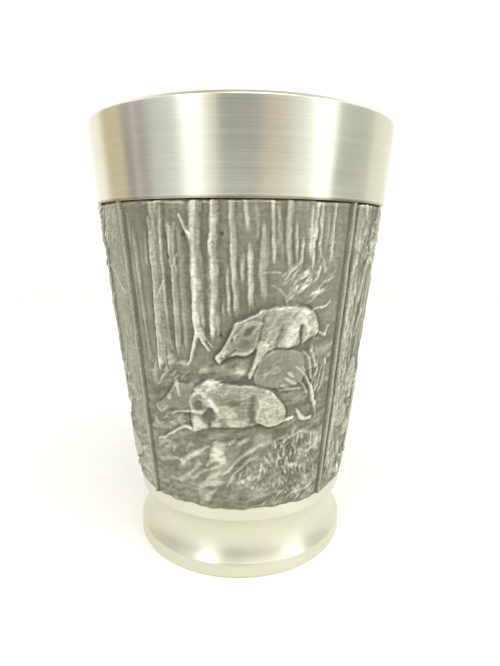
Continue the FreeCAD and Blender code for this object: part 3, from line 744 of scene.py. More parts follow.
def limb(relief, joints, rise=0.24, level=0.1, polish=0.2, fur=24):
    """A leg from (degrees, mm, width) joints, hip first, rounded and modelled over the body."""
    joints = np.array(joints, float)
    middle = joints[:, :2] * (MM_PER_DEGREE, 1)
    along = np.gradient(middle, axis=0)
    sideways = np.stack([-along[:, 1], along[:, 0]], axis=1) / np.hypot(*along.T)[:, None]
    left = middle + sideways * joints[:, 2:] / 2
    right = middle - sideways * joints[:, 2:] / 2
    outline = np.vstack([left, right[::-1]]) / (MM_PER_DEGREE, 1)
    relief.form(outline, rise, 0.45, polish, level=level, moat=0.06)
    relief.strokes(outline, fur, 0.5, 0.13, 0.05, 80, 14, 0.08)


def stag_wood(relief):
    """An old oak on the left with a limb and a crown, a far wood, and rocks at its foot."""
    ridge, strokes = relief.ridge, relief.strokes
    far_wood(relief, -30, 42, 27)
    for across, top, bottom, reach in ((-11, 36.6, 27.4, 5.5), (4, 39.6, 27.4, 7), (40, 36, 26, 6)):
        fir(relief, across, top, bottom, reach)
    leaves(relief, [(-31, 39.4), (-27, 43), (-20, 44.8), (-11, 44.9), (-3, 43.8), (-6, 41.4), (-14, 39.6),
                    (-23, 38.4)], 330)
    oak = [(-37.4, 45.4), (-37.8, 40), (-38, 33), (-37.6, 26), (-38.2, 18), (-39, 12)]
    trunk(relief, oak, 3.1, 0.36, 0.08, taper=(0.95, 1.15))
    strokes([(-42.6, 45), (-32.6, 45), (-32.4, 30), (-32, 14), (-43, 14)], 330, 1.5, 0.24, 0.13, 88, 8,
            0.17)
    limb_line = [(-33.4, 34.4), (-31, 37.4), (-26.8, 39.2), (-22.8, 41.2), (-20, 44)]
    ridge(limb_line, 1.0, 0.36, 0.22, taper=(1.2, 0.5), over=True)
    ridge([(-27, 39.2), (-23, 38.8), (-18, 39.7), (-13, 39.3)], 0.5, 0.26, 0.2, taper=(1, 0.5))
    ridge([(-33, 30), (-29.6, 31.2), (-27.4, 33)], 0.45, 0.26, 0.2, taper=(1, 0.5))
    ridge([(-34, 15.6), (-30, 13.6), (-25, 12.9)], 1.1, 0.28, 0.16, taper=(1.1, 0.4))
    rock(relief, -28.6, 24.6, 6.6, 2.6, polish=0.3)
    rock(relief, -33.4, 19.4, 7, 1.9, polish=0.2)
    rock(relief, -25, 17, 5.4, 1.3, polish=0.18)
    rock(relief, 35, 15.6, 8, 1.9, polish=0.2)


def stag(relief):
    """A red deer stag that stands facing right with its head up."""
    ridge, form, strokes = relief.ridge, relief.form, relief.strokes
    limb(relief, [(16, 21, 2), (14.6, 19, 1.2), (13.2, 17.2, 0.85), (14.2, 15.2, 0.5), (13.4, 13.9, 0.55),
                  (14, 13.1, 0.75)], 0.16, 0.06, 0.1)
    limb(relief, [(-8, 21.6, 2.8), (-8.6, 19.8, 1.6), (-11.4, 17.9, 1), (-10.6, 15.8, 0.6), (-11, 14, 0.55),
                  (-10.2, 13.1, 0.75)], 0.16, 0.06, 0.1)
    body = [
        (-16.5, 24.4), (-12, 25.3), (-5, 25), (3, 24.8), (10, 25), (16, 25.6), (20, 25), (24.2, 23.4),
        (24.6, 21.8), (21.5, 20.2), (15, 19.7), (7, 20.1), (-1, 20.7), (-7, 21.2), (-12, 21),
        (-16.5, 21.6), (-18.2, 23),
    ]
    neck = [
        (11, 25.2), (16.5, 27), (20, 29.2), (22.5, 31.8), (26.5, 32.4), (29, 31), (28.2, 29), (27.8, 26.8),
        (27.6, 24.6), (25.4, 22.4), (20, 21.8), (14, 23.2),
    ]
    head = [
        (22.8, 32.4), (25.6, 33.2), (28.6, 32.9), (31.6, 32), (35, 31.1), (38.4, 30.4), (39.6, 29.7),
        (38.6, 29.1), (35.6, 29), (32.4, 29.4), (29.4, 29.5), (26.4, 30.2), (24, 31.2),
    ]
    form(body, 0.3, 1.6, 0.06, level=0.14, moat=0.06)
    form([(-8, 24.2), (0, 24.2), (8, 24), (10, 22), (2, 21.6), (-6, 22)], 0.05, 0.9, 0.16)
    limb(relief, [(-13, 23.4, 3.6), (-13.4, 21.4, 3.1), (-15.4, 19.4, 1.7), (-18.2, 17.6, 1.05),
                  (-17.6, 15.4, 0.65), (-17.8, 13.6, 0.6), (-17, 12.6, 0.85)], 0.28, 0.2, 0.2, 70)
    limb(relief, [(18.6, 23.6, 2.6), (20, 21.6, 2.1), (20.4, 19.4, 1.25), (20.6, 17, 0.95),
                  (20.2, 14.8, 0.55), (20.4, 13.4, 0.6), (21.2, 12.5, 0.85)], 0.26, 0.2, 0.18, 50)
    form(neck, 0.26, 1.3, 0.06, level=0.22, moat=0.04)
    strokes([(13, 24.4), (20, 28.6), (23, 31.4), (27.4, 31), (27.4, 26), (25, 22.6), (18, 22.4)], 240, 0.95,
            0.15, 0.1, -74, 12, 0.17)
    form(head, 0.22, 0.7, 0.12, level=0.28, moat=0.06)
    ridge([(25.4, 32.8), (29, 32.4), (33, 31.2), (37.4, 30.2)], 0.5, 0.06, 0.26)
    for ear in ([(23.4, 32.8), (20.4, 33), (17.4, 33.9), (19.6, 34.2), (23.4, 33.9)], [(26.6, 33.2),
                                                                                       (28, 34.4),
                                                                                       (30.6, 34.9),
                                                                                       (30, 33.9),
                                                                                       (28.6, 33.1)]):
        form(ear, 0.16, 0.3, 0.24, level=0.26)
    for points, width in (
        ([(24.6, 33.1), (20.6, 35.2), (17.6, 37.8), (17.4, 40.2), (19.6, 42.4)], 0.5),
        ([(26.8, 33.1), (30.6, 35.4), (34.2, 38), (35, 40.4), (33.2, 42.6)], 0.5),
        ([(24.2, 33.7), (26.8, 34.9), (28, 36.6)], 0.34),
        ([(28, 33.7), (32, 33.8), (35.6, 35)], 0.34),
        ([(21.4, 34.7), (17.4, 35.4), (14.4, 36.9)], 0.34),
        ([(18, 37.2), (13.6, 38), (10.8, 39.9)], 0.34),
        ([(33.4, 37.2), (37.2, 37.4), (40.2, 38.9)], 0.34),
        ([(17.5, 40), (14.2, 41.3), (13.4, 43.2)], 0.3),
        ([(18, 41.2), (20.8, 41.6), (23.6, 43.2)], 0.3),
        ([(35, 40), (38.2, 41), (39.4, 42.8)], 0.3),
        ([(34.4, 41.4), (31.4, 42.2), (30.2, 43.8)], 0.3),
    ):
        ridge(points, width, 0.3, 0.42, taper=(1.15, 0.5))
    form([(29.2, 31.8), (30.1, 32.1), (31, 31.75), (30.1, 31.5)], -0.14, 0.12, -0.12)
    ridge([(33.4, 29.9), (36.6, 29.6), (39, 29.6)], 0.18, -0.12, -0.1)
    form([(37.8, 30.3), (39.3, 30), (39.2, 29.4), (38, 29.6)], -0.08, 0.2)
    ridge([(-17, 24.2), (-19, 23.4), (-19.4, 22)], 0.7, 0.2, 0.26)
    strokes(body, 330, 0.6, 0.13, 0.05, -12, 18, 0.07)


def stag_scene():
    """A stag beside an old oak."""
    relief = Relief(seed=23)
    forest_floor(relief, [(-45, 24), (-20, 27.6), (0, 28.6), (20, 27.4), (45, 26)], 0.14)
    stag_wood(relief)
    rough_ground(relief, -30, 40, 10, 27, 150)
    tufts(relief, [(-27, 21.6), (0, 17.6), (26, 20.4), (-4, 23.4), (39, 21.6), (4, 13.6)])
    stag(relief)
    rough_ground(relief, -36, 40, 10, 12.6, 46)
    tufts(relief, [(-20, 11.8), (11, 11.2), (18, 11.8), (-8, 12), (30, 11.4), (39, 12.4), (-30, 10.8)], 1.6,
          0.18)
    relief.finish()
    return relief


def birch(relief, points, width, polish=0.26):
    """A birch: a pale trunk with short dark marks across its bark, and thin drooping twigs."""
    trunk(relief, points, width, 0.3, polish, taper=(0.85, 1.1))
    for x, up in smooth_line(points)[1:-1]:
        if relief.random.random() < 0.75:
            x += relief.random.normal(0, 0.15)
            half = width * relief.random.uniform(0.12, 0.38)
            mark = np.array([(x - half, up), (x + half, up + 0.05)])
            relief.ridge(None, 0.18, -0.13, -0.3, line=mark)
    for _ in range(7):
        share = relief.random.uniform(0.1, 0.95)
        across = points[0][0] + (points[1][0] - points[0][0]) * share
        up = points[0][1] + (points[1][1] - points[0][1]) * share
        reach = relief.random.uniform(2.5, 5.4) * relief.random.choice([-1, 1])
        twig = [(across, up - 1.4), (across + reach * 0.6, up), (across + reach, up - 1.6),
                (across + reach * 1.1, up - 3.4)]
        relief.ridge(twig, 0.24, 0.13, 0.14, taper=(1.2, 0.5))


def stump(relief):
    """A cut stump with its rings on top, roots, and two brackets of fungus."""
    ridge, form, strokes = relief.ridge, relief.form, relief.strokes
    side = [(-40.6, 17.4), (-29, 17.2), (-28.4, 14.4), (-24, 11.9), (-29, 12.2), (-34.6, 11.2), (-39.4, 12),
            (-42.6, 11.8), (-41.4, 14.4)]
    form(side, 0.26, 0.8, 0.08, level=0.16)
    strokes(side, 150, 1.2, 0.22, 0.11, 84, 9, 0.17)
    form([(-40.8, 17.4), (-38, 18.4), (-31.6, 18.4), (-28.6, 17.3), (-31.8, 16.5), (-38, 16.5)], 0.1, 0.3,
         0.26, level=0.38)
    for share in (0.35, 0.68):
        turns = np.linspace(0, 2 * math.pi, 9)
        ring = [(-34.7 + 6.2 * share * math.cos(turn),
                 17.45 + 0.95 * share * math.sin(turn)) for turn in turns]
        ridge(ring, 0.14, -0.09, -0.18)
    for across, up in ((-28.8, 15.4), (-29.4, 13.9)):
        form([(across - 0.6, up + 0.4), (across + 2.8, up + 0.3), (across + 3, up - 0.1), (across,
                                                                                           up - 0.4)], 0.2,
             0.3, 0.3, level=0.2)


def mushroom(relief, across, up, size):
    """A mushroom with a domed cap and a thick stalk."""
    relief.ridge([(across, up + size), (across + 0.3, up)], 0.42 * size, 0.22, 0.2, taper=(0.8, 1.1))
    cap = [(-3.4, 0.9), (-2.2, 1.6), (0, 1.95), (2.2, 1.6), (3.4, 0.9), (0, 0.7)]
    relief.form([(across + x * size, up + y * size) for x, y in cap], 0.22, 0.5, 0.28, level=0.14)


def fox(relief):
    """A fox that trots to the left with its brush held low."""
    ridge, form, strokes = relief.ridge, relief.form, relief.strokes
    limb(relief, [(-7, 18.6, 1.6), (-6.4, 16.8, 0.8), (-8.2, 15, 0.6), (-8, 13.6, 0.5), (-9.8, 13, 0.6)],
         0.14, 0.06, 0.08)
    limb(relief, [(11, 19.4, 2), (9.6, 17.8, 1.2), (11, 16.2, 0.7), (8.6, 14.8, 0.5), (7.6, 13.6, 0.5),
                  (5.8, 13.3, 0.6)], 0.14, 0.06, 0.08)
    brush = [(17.6, 21), (22, 21.9), (28, 22.1), (34, 21), (39, 19.1), (42.4, 17), (38, 16.7), (32, 17.4),
             (26, 18.5), (20, 19.6)]
    form(brush, 0.28, 1.1, 0.06, level=0.1)
    form([(35, 20.4), (39, 19.1), (42.4, 17), (38, 16.7), (34.4, 17.6)], 0.05, 0.6, 0.32)
    strokes(brush, 260, 0.9, 0.15, 0.1, -22, 13, 0.15)
    body = [
        (-13.5, 21.4), (-9, 22.2), (-3, 21.9), (4, 21.5), (10, 21.7), (15, 22), (19, 21.4), (20.4, 20),
        (18, 18.8), (12, 19), (5, 18.7), (-2, 18), (-8, 17.5), (-12.5, 17.9), (-14.6, 19.4),
    ]
    form(body, 0.3, 1.3, 0.06, level=0.14, moat=0.06)
    form([(-6, 21.2), (4, 20.9), (10, 21), (10, 19.8), (0, 19.4), (-6, 19.8)], 0.05, 0.7, 0.16)
    limb(relief, [(15.6, 20.8, 2.6), (15.2, 19.2, 2.2), (17.6, 17.4, 1.15), (19.8, 16, 0.75),
                  (17.4, 14.4, 0.55), (17, 13.2, 0.5), (15, 12.7, 0.65)], 0.24, 0.2, 0.18, 60)
    limb(relief, [(-10, 20, 2.2), (-11, 18, 1.3), (-13.8, 16.4, 0.8), (-16.4, 15.2, 0.6),
                  (-18.8, 14.3, 0.55), (-20.8, 14, 0.7)], 0.24, 0.2, 0.18, 50)
    form([(-9.4, 22), (-12.6, 23.6), (-16, 24), (-19, 22.4), (-18, 20), (-14.8, 18.8), (-10.4, 19.4)], 0.22,
         0.9, 0.08, level=0.2, moat=0.03)
    strokes([(-10, 22), (-14, 23.6), (-17.6, 22), (-15, 18.9), (-10.6, 19.4)], 120, 0.8, 0.15, 0.1, 58, 14,
            0.16)
    head = [
        (-14.6, 24.2), (-18, 24.8), (-21, 24.2), (-23.6, 23.2), (-26.8, 22.4), (-30.2, 21.9), (-31, 21.4),
        (-30, 20.9), (-26.4, 20.7), (-22.6, 20.7), (-19.6, 20.4), (-16, 20.8), (-13.8, 22.4),
    ]
    form(head, 0.24, 0.8, 0.1, level=0.26, moat=0.06)
    for ear in ([(-20.6, 24.1), (-21, 26.5), (-18.6, 26), (-16.2, 24.6)], [(-15.4, 24.6), (-13.2, 26.4),
                                                                           (-11.8, 25.5), (-12.2, 23.6)]):
        form(ear, 0.18, 0.3, 0.24, level=0.26)
    ridge([(-20, 24.3), (-19.9, 25.5), (-18.4, 24.8)], 0.3, -0.1, -0.14)
    form([(-24, 21.6), (-19.6, 22), (-16, 21.6), (-17, 20.9), (-21, 20.9)], 0.05, 0.5, 0.28)
    ridge([(-21.4, 23.9), (-25, 22.6), (-29, 21.8)], 0.35, 0.05, 0.22)
    form([(-22.4, 23.1), (-21.5, 23.4), (-20.6, 23), (-21.5, 22.8)], -0.14, 0.12, -0.14)
    form([(-31, 21.7), (-29.9, 21.9), (-29.6, 21.4), (-30.6, 21.1)], 0.08, 0.15, -0.2)
    ridge([(-29.4, 21.1), (-26.4, 21), (-23.6, 21.3)], 0.16, -0.1, -0.1)
    strokes(body, 330, 0.6, 0.13, 0.06, 8, 18, 0.09)
    strokes(head, 60, 0.4, 0.13, 0.04, 20, 20, 0.04)


def fox_scene():
    """A fox among birches, with a stump and mushrooms."""
    relief = Relief(seed=37)
    forest_floor(relief, [(-45, 26.4), (-20, 25.4), (5, 26.8), (25, 27.6), (45, 26.2)], 0.14)
    far_wood(relief, -43, 42, 27)
    for across, top, bottom, reach in ((-25, 36.6, 26.4, 6), (12, 34.6, 27, 6), (38.6, 36.4, 26.6, 5.4)):
        fir(relief, across, top, bottom, reach)
    birch(relief, [(-34.6, 45.3), (-35, 38), (-36, 31), (-35.4, 24)], 1.15)
    birch(relief, [(-6.6, 45.3), (-6, 39), (-7, 32), (-6.6, 25.4)], 0.8, 0.2)
    birch(relief, [(25, 45.3), (25.6, 38), (24.6, 30), (25.4, 24.6)], 1.3)
    birch(relief, [(32.6, 45.3), (31.2, 39), (30, 32), (28.4, 25.4)], 0.7, 0.18)
    leaves(relief, [(-43, 45), (-24, 45), (-22, 42.6), (-30, 41.6), (-43, 42.6)], 220)
    leaves(relief, [(6, 45), (42, 45), (42, 42), (30, 41), (14, 42.4)], 300)
    rough_ground(relief, -42, 40, 10, 26, 180)
    rock(relief, 34, 24, 8, 1.7, polish=0.2)
    stump(relief)
    tufts(relief, [(-22, 18), (25, 14.6), (-24, 12.6), (-2, 23.8), (16, 24.2), (-39, 20.6), (38, 14)])
    fox(relief)
    rough_ground(relief, -22, 40, 10, 12.4, 40)
    for across, up, size in ((27, 10.6, 1.3), (34.6, 10.4, 0.9), (20.6, 10.4, 0.8)):
        mushroom(relief, across, up, size)
    tufts(relief, [(-13, 10.8), (-2, 11.2), (10, 11), (39, 10.8), (-22, 10.6)], 1.6, 0.18)
    relief.finish()
    return relief


def pheasant_cover(relief):
    """Field and hedge: a leaning elm and hatched boughs on the right, reeds on the left."""
    ridge, strokes = relief.ridge, relief.strokes
    far_wood(relief, -42, 14, 28)
    for across, top, bottom, reach in ((-31, 40, 27.6, 7), (-14.6, 36.4, 28, 6), (1, 38.4, 28, 6)):
        fir(relief, across, top, bottom, reach)
    elm = [(22, 45.4), (21, 41), (18.6, 36), (17.4, 31), (17, 24.4)]
    trunk(relief, elm, 1.5, 0.34, 0.1, taper=(0.8, 1.2))
    strokes([(20, 45), (24, 45), (21, 36), (19.4, 25), (15, 25), (16, 36)], 120, 1.2, 0.22, 0.11, 84, 10,
            0.17)
    ridge([(24, 38.2), (30, 37.6), (35, 36.6), (39, 35.2)], 0.5, 0.16, 0.3, taper=(0.6, 0.8))
    ridge([(19.6, 38), (15, 39.6), (10.4, 40), (7.6, 41.6)], 0.42, 0.26, 0.24, taper=(1.1, 0.6))
    ridge([(17.8, 33), (21.6, 34.6), (24, 34.4)], 0.36, 0.2, 0.2, taper=(1.1, 0.6))
    strokes([(6, 45.2), (30, 45.2), (30, 41), (24, 40.2), (10, 41)], 220, 1.3, 0.2, 0.13, 48, 9, 0.22)
    strokes([(28, 45), (42.8, 45.2), (42.8, 41), (34, 40.2)], 40, 1.5, 0.26, 0.04, 48, 7, 0.12)
    for _ in range(26):
        across = relief.random.uniform(-42, -30)
        tall = relief.random.uniform(4, 10)
        lean = relief.random.normal(0.4, 1.4)
        stem = [(across, 20), (across + lean * 0.4, 20 + tall * 0.6), (across + lean, 20 + tall)]
        strength = relief.random.uniform(0.3, 1.5)
        ridge(stem, 0.26, 0.15, 0.13 * strength, taper=(1, 0.6))
        if tall > 8:
            ridge([(across + lean, 19.6 + tall), (across + lean * 1.1, 21.4 + tall)], 0.5, 0.24, 0.22)


def feathers(relief, rows, size, polish=0.14):
    """Rows of overlapping feathers, each a small scallop, along (degrees, mm) lines."""
    for start, end, count in rows:
        for share in np.linspace(0, 1, count):
            across, up = np.add(start, np.subtract(end, start) * share) + relief.random.normal(0, 0.07, 2)
            arc = [(across - size, up + 0.22), (across + 0.6 * size, up + 0.1), (across + size, up - 0.2),
                   (across - 0.4 * size, up - 0.28)]
            relief.ridge(arc, 0.16, 0.08, polish * relief.random.uniform(0.4, 1.5))


def cock_pheasant(relief):
    """A cock pheasant that walks to the left, its long barred tail held out behind it."""
    ridge, form, strokes = relief.ridge, relief.form, relief.strokes
    for points, rise in (
        ([(8, 20.4), (16, 21.6), (23, 24), (29, 26.6), (33, 28.8)], 0.26),
        ([(8, 20), (16, 20.7), (24, 22.4), (31, 24.8)], 0.22),
        ([(6, 21), (13, 22.6), (19, 24.6), (25, 27)], 0.2),
    ):
        ridge(points, 0.85, rise, 0.16, taper=(1.3, 0.35))
        for place in smooth_line(points)[3:-1]:
            bar = np.array([place + (-0.12, 0.24), place + (0.12, -0.24)])
            ridge(None, 0.15, -0.1, -0.2, line=bar)
    for hip, knee, heel in (((-4, 17.4), (-2.8, 15.9), (-4.4, 14.6)), ((2, 17.6), (3.6, 16), (2.2, 14.8))):
        foot = (heel[0] + 0.3, heel[1] - 1.5)
        limb(relief, [(*hip, 1.6), (*knee, 0.7), (*heel, 0.34), (*foot, 0.3)], 0.2, 0.08, 0.2, 16)
        for side, drop in ((-3, 0.1), (-2.2, -0.4), (1.8, 0)):
            ridge([foot, (foot[0] + side, foot[1] + drop)], 0.22, 0.15, 0.22)
    body = [
        (-14, 20.2), (-12.6, 21.8), (-8.6, 22.7), (-3, 22.6), (3, 21.6), (9, 20.8), (13.4, 20), (11, 18.8),
        (5, 17.4), (-2, 16.6), (-8, 16.6), (-12.6, 17.9),
    ]
    form(body, 0.32, 1.4, 0.06, level=0.16, moat=0.06)
    ridge([(-9, 20.6), (-12.6, 22.6), (-14.6, 24.4), (-15.2, 25.6)], 2.0, 0.44, 0.06, taper=(1.3, 0.6),
          over=True)
    form([(-18.4, 25.6), (-17.4, 26.6), (-15, 26.9), (-12.8, 26.1), (-12.8, 24.8), (-15.4, 24.4),
          (-17.6, 24.9)], 0.24, 0.5, 0.06, level=0.26)
    form([(-18, 25.8), (-20.4, 25.4), (-21.4, 24.7), (-19.2, 24.7), (-17.8, 25)], 0.14, 0.2, 0.3, level=0.2)
    form([(-17.6, 25.6), (-16.2, 26), (-14.8, 25.4), (-15.6, 24.6), (-17.2, 24.8)], 0.06, 0.3, 0.32)
    form([(-16.7, 25.85), (-16.1, 26.05), (-15.5, 25.8), (-16.1, 25.6)], -0.14, 0.1, -0.3)
    ridge([(-13.2, 26.6), (-11.4, 27.2), (-10, 27)], 0.26, 0.18, 0.2, taper=(1, 0.5))
    ridge([(-17.4, 23.9), (-14.8, 23.4), (-11.6, 23.7)], 0.42, 0.08, 0.42)
    wing = [(-8, 21.4), (-4, 22), (2, 21.2), (8, 20.2), (13, 19.6), (7, 18.8), (0, 18.3), (-5.6, 18.6),
            (-8.6, 19.8)]
    form(wing, 0.12, 0.7, 0.1)
    feathers(relief, [((-13, 18.6), (-10.6, 21.8), 6), ((-11, 17.8), (-8.6, 22.2), 7), ((-8.6, 17.3),
                                                                                        (2, 17.4), 8)], 0.9)
    feathers(relief, [((-7, 21), (3, 20.8), 8), ((-7, 20.3), (6, 20), 9), ((-6, 19.5), (8, 19.4), 9)], 1.1,
             0.18)
    for drop in (0, 0.35, 0.7):
        ridge([(0, 19.9 - drop), (6, 19.7 - drop), (12.6, 19.6 - drop * 0.7)], 0.26, 0.1, 0.18)
    strokes([(-13, 22.4), (-9, 21.6), (-12, 24.8), (-16, 24.2)], 90, 0.5, 0.13, 0.06, 62, 14, 0.08)


def hen_pheasant(relief):
    """A hen that crouches in the grass on the right."""
    ridge, form = relief.ridge, relief.form
    ridge([(31, 14.2), (36, 14.6), (41.6, 15.4)], 0.7, 0.22, 0.16, taper=(1.3, 0.4))
    form([(15, 14.2), (17, 15.6), (23, 16.2), (29, 15.8), (34, 14.8), (33, 13.6), (28, 12.6), (20, 12.5),
          (16, 13.1)], 0.26, 1.0, 0.08, level=0.12)
    form([(13.4, 16.6), (14.4, 17.6), (17, 17.8), (18.8, 16.8), (19.6, 15.2), (16, 14.6)], 0.22, 0.5, 0.1,
         level=0.2)
    form([(13.8, 16.9), (11.4, 16.6), (12, 16.2), (13.8, 16.3)], 0.14, 0.2, 0.24, level=0.14)
    form([(14.8, 17), (15.4, 17.2), (16, 17), (15.4, 16.8)], -0.12, 0.1, -0.2)
    feathers(relief, [((18, 13.4), (30, 13.4), 9), ((18, 14.2), (33, 14.3), 11), ((20, 15.1), (30, 15.2),
                                                                                  8)], 1.1, 0.16)


def pheasant_scene():
    """A pair of pheasants at the edge of a wood."""
    relief = Relief(seed=53)
    forest_floor(relief, [(-45, 27), (-20, 28), (5, 28.6), (22, 26), (34, 25), (45, 25.6)], 0.1)
    pheasant_cover(relief)
    rough_ground(relief, -42, 24, 10, 26, 140)
    rough_ground(relief, 24, 40, 10, 24, 24, 0.08)
    rock(relief, -29, 17, 8, 1.7, polish=0.22)
    rock(relief, -37, 14, 5.6, 1.4, polish=0.18)
    tufts(relief, [(-22, 20.6), (-20, 14.6), (12, 15), (-12, 14), (27, 20.4), (8, 24)])
    cock_pheasant(relief)
    hen_pheasant(relief)
    rough_ground(relief, -40, 40, 10, 12.4, 40)
    tufts(relief, [(-20, 11), (-9, 11.4), (8, 11), (15, 11.4), (24, 11), (-34, 11)], 1.8, 0.18)
    # Toward the right end the carving is flattened and its tone raised: the raise is a painted sheen, the
    # grazing reflection along that end of the panel.
    clearing_with_painted_sheen = np.clip((relief.across / MM_PER_DEGREE - 25) / 8, 0, 1)
    relief.height *= 1 - 0.55 * clearing_with_painted_sheen
    relief.polish += 0.16 * clearing_with_painted_sheen
    relief.finish()
    return relief


# ---------------------------------------------------------------- meshes

SEGMENTS = 256
# mm between points along a turned run: outside, in a bore, and on the floor disc
TOOL_STEP, BORE_STEP, DISC_STEP = 0.11, 0.2, 0.15
RIB_ROWS, RIB_KNOTS = 240, 28
# degrees from a panel's middle to the middle of the rib beside it
HALF_QUARTER = 45
TURNS = {"boars": -90, "stag": 0, "fox": 90, "pheasant": 180}
RIB_TURNS = {"front_right": -45, "rear_right": 45, "rear_left": 135, "front_left": 225}


def add_piece(name, points, faces, material, replaced, wear=None):
    """A smooth-shaded mesh from points in mm, which stands for a CAD node and rides on the cup."""
    mesh = bpy.data.meshes.new(name)
    mesh.from_pydata((np.asarray(points) * MM).tolist(), [], faces)
    mesh.polygons.foreach_set("use_smooth", np.ones(len(mesh.polygons), bool))
    if wear is not None:
        layer = mesh.attributes.new("wear", "FLOAT", "POINT")
        layer.data.foreach_set("value", np.asarray(wear, np.float32))
    mesh.materials.append(material)
    mesh.validate()
    piece = bpy.data.objects.new(name, mesh)
    bpy.context.scene.collection.objects.link(piece)
    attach(piece, "root")
    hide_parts(replaced)
    return piece


def corner(radius, height, rounding=0.0, step=None, sag=0.0):
    """A corner of a turned outline, and how the run to the next corner is cut.

    A run with a step shows, so it gets points that far apart and tool marks. A run with a sag is
    hollowed by that much at its middle.
    """
    return {"at": np.array([radius, height]), "rounding": rounding, "step": step, "sag": sag}


def turned_outline(corners, marks, seed):
    """The closed outline through corners, rounded there, with tool marks that deep on its runs."""
    random = np.random.default_rng(seed)
    outline = []
    for before, here, after in zip(corners[-1:] + corners[:-1], corners, corners[1:] + corners[:1]):
        arrive = here["at"] - before["at"]
        leave = after["at"] - here["at"]
        run = np.hypot(*leave)
        start = here["at"] + leave / run * here["rounding"]
        if here["rounding"]:
            entry = here["at"] - arrive / np.hypot(*arrive) * here["rounding"]
            for t in np.linspace(0, 1, 6):
                outline.append((1 - t) ** 2 * entry + 2 * t * (1 - t) * here["at"] + t**2 * start)
        else:
            outline.append(here["at"])
        if here["step"]:
            end = after["at"] - leave / run * after["rounding"]
            inward = np.array([leave[1], -leave[0]]) / run
            count = max(2, int(np.hypot(*(end - start)) / here["step"]))
            for t in np.linspace(0, 1, count + 1)[1:-1]:
                sink = here["sag"] * 4 * t * (1 - t)
                mark = marks * random.normal() * min(1, 12 * t * (1 - t))
                outline.append(start + (end - start) * t + inward * (sink + mark))
    return np.array(outline)


def turned_piece(name, corners, material, marks=0.0009, lumps=0.0, seed=1):
    """A ring or disc turned about the cup's axis, from corners in clockwise order.

    A disc's outline starts and ends on the axis. Lumps is how uneven the piece is round the cup.
    """
    outline = turned_outline(corners, marks, seed)
    is_disc = outline[0, 0] == 0
    rim = outline[1:-1] if is_disc else outline
    angles = np.arange(SEGMENTS) * 2 * math.pi / SEGMENTS
    around = np.stack([np.cos(angles), np.sin(angles)], axis=1)
    uneven = 1 - lumps / rim[0, 0] * (np.sin(17 * angles) + np.sin(41 * angles + 1) + 1) / 2
    rings = rim[:, None, 0, None] * around[None] * uneven[:, None]
    heights = np.broadcast_to(rim[:, None, 1, None], rings.shape[:2] + (1,))
    points = np.concatenate([rings, heights], axis=2).reshape(-1, 3)
    count = len(rim)
    i = np.arange(SEGMENTS)
    after = (i + 1) % SEGMENTS
    faces = []
    for row in range(count - 1 if is_disc else count):
        low, high = row * SEGMENTS, (row + 1) % count * SEGMENTS
        faces.append(np.stack([low + i, high + i, high + after, low + after], axis=1))
    faces = np.vstack(faces).tolist()
    if is_disc:
        first, last = len(points), len(points) + 1
        points = np.vstack([points, [0, 0, outline[0, 1]], [0, 0, outline[-1, 1]]])
        end = (count - 1) * SEGMENTS
        faces += np.stack([np.full(SEGMENTS, first), i, after], axis=1).tolist()
        faces += np.stack([np.full(SEGMENTS, last), end + after, end + i], axis=1).tolist()
    return add_piece(name + "_turned", points, faces, material, name)


def on_cup(radius, angle, height):
    """Points in mm from radii, angles in radians and heights, as rows of x, y, z."""
    radius, angle, height = np.broadcast_arrays(radius, angle, height)
    return np.stack([radius * np.cos(angle), radius * np.sin(angle), height], axis=-1).reshape(-1, 3)


def edge_wave(angle):
    """How far the cast edge above the foot wanders from level, in mm, at an angle in radians."""
    return (
        0.10 * np.sin(9 * angle + 0.6)
        + 0.07 * np.sin(23 * angle + 2.0)
        + 0.04 * np.sin(51 * angle)
        - 0.08
    )


def near_foot(up):
    """How much of the cast edge's wave a height shares, from 1 at the foot to 0 well above it."""
    return np.clip(1 - (up - RELIEF_BOTTOM) / 1.2, 0, 1) ** 2


def relief_panel(motif, relief, material):
    """A panel whose face is the carved height field, closed by its edges and a smooth back."""
    angle = math.radians(TURNS[motif]) + np.radians(relief.columns / MM_PER_DEGREE)
    up = relief.rows[:, None]
    height = up + edge_wave(angle)[None, :] * near_foot(up)
    front = on_cup(field_radius(height) + relief.height, angle[None, :], height)
    knee = on_cup(SHOULDER_RADIUS + 0.01, angle, np.minimum(height[0], RELIEF_BOTTOM))
    back_bottom = on_cup(BACK_BOTTOM_RADIUS, angle, RELIEF_BOTTOM)
    back_top = on_cup(BACK_TOP_RADIUS, angle, RELIEF_TOP)
    points = np.vstack([front, knee, back_bottom, back_top])
    i = np.arange(COLUMNS - 1)
    last_row = (ROWS - 1) * COLUMNS
    knee_row, bottom_row, top_row = ROWS * COLUMNS + np.arange(3) * COLUMNS
    chain = [(last_row, top_row), (top_row, bottom_row), (bottom_row, knee_row), (knee_row, 0)]
    chain += [(row * COLUMNS, (row + 1) * COLUMNS) for row in range(ROWS - 1)]
    faces = [np.stack([a + i, a + i + 1, b + i + 1, b + i], axis=1) for a, b in chain]
    faces = np.vstack(faces).tolist()
    for column, turn in ((0, 1), (COLUMNS - 1, -1)):
        edge = [row * COLUMNS + column for row in range(ROWS)]
        edge += [top_row + column, bottom_row + column, knee_row + column]
        faces.append(edge[::turn])
    wear = np.concatenate([relief.wear().ravel(), np.full(3 * COLUMNS, 0.1)])
    node = f"relief_panel_{motif}"
    return add_piece(node + "_cast", points, faces, material, node, wear)


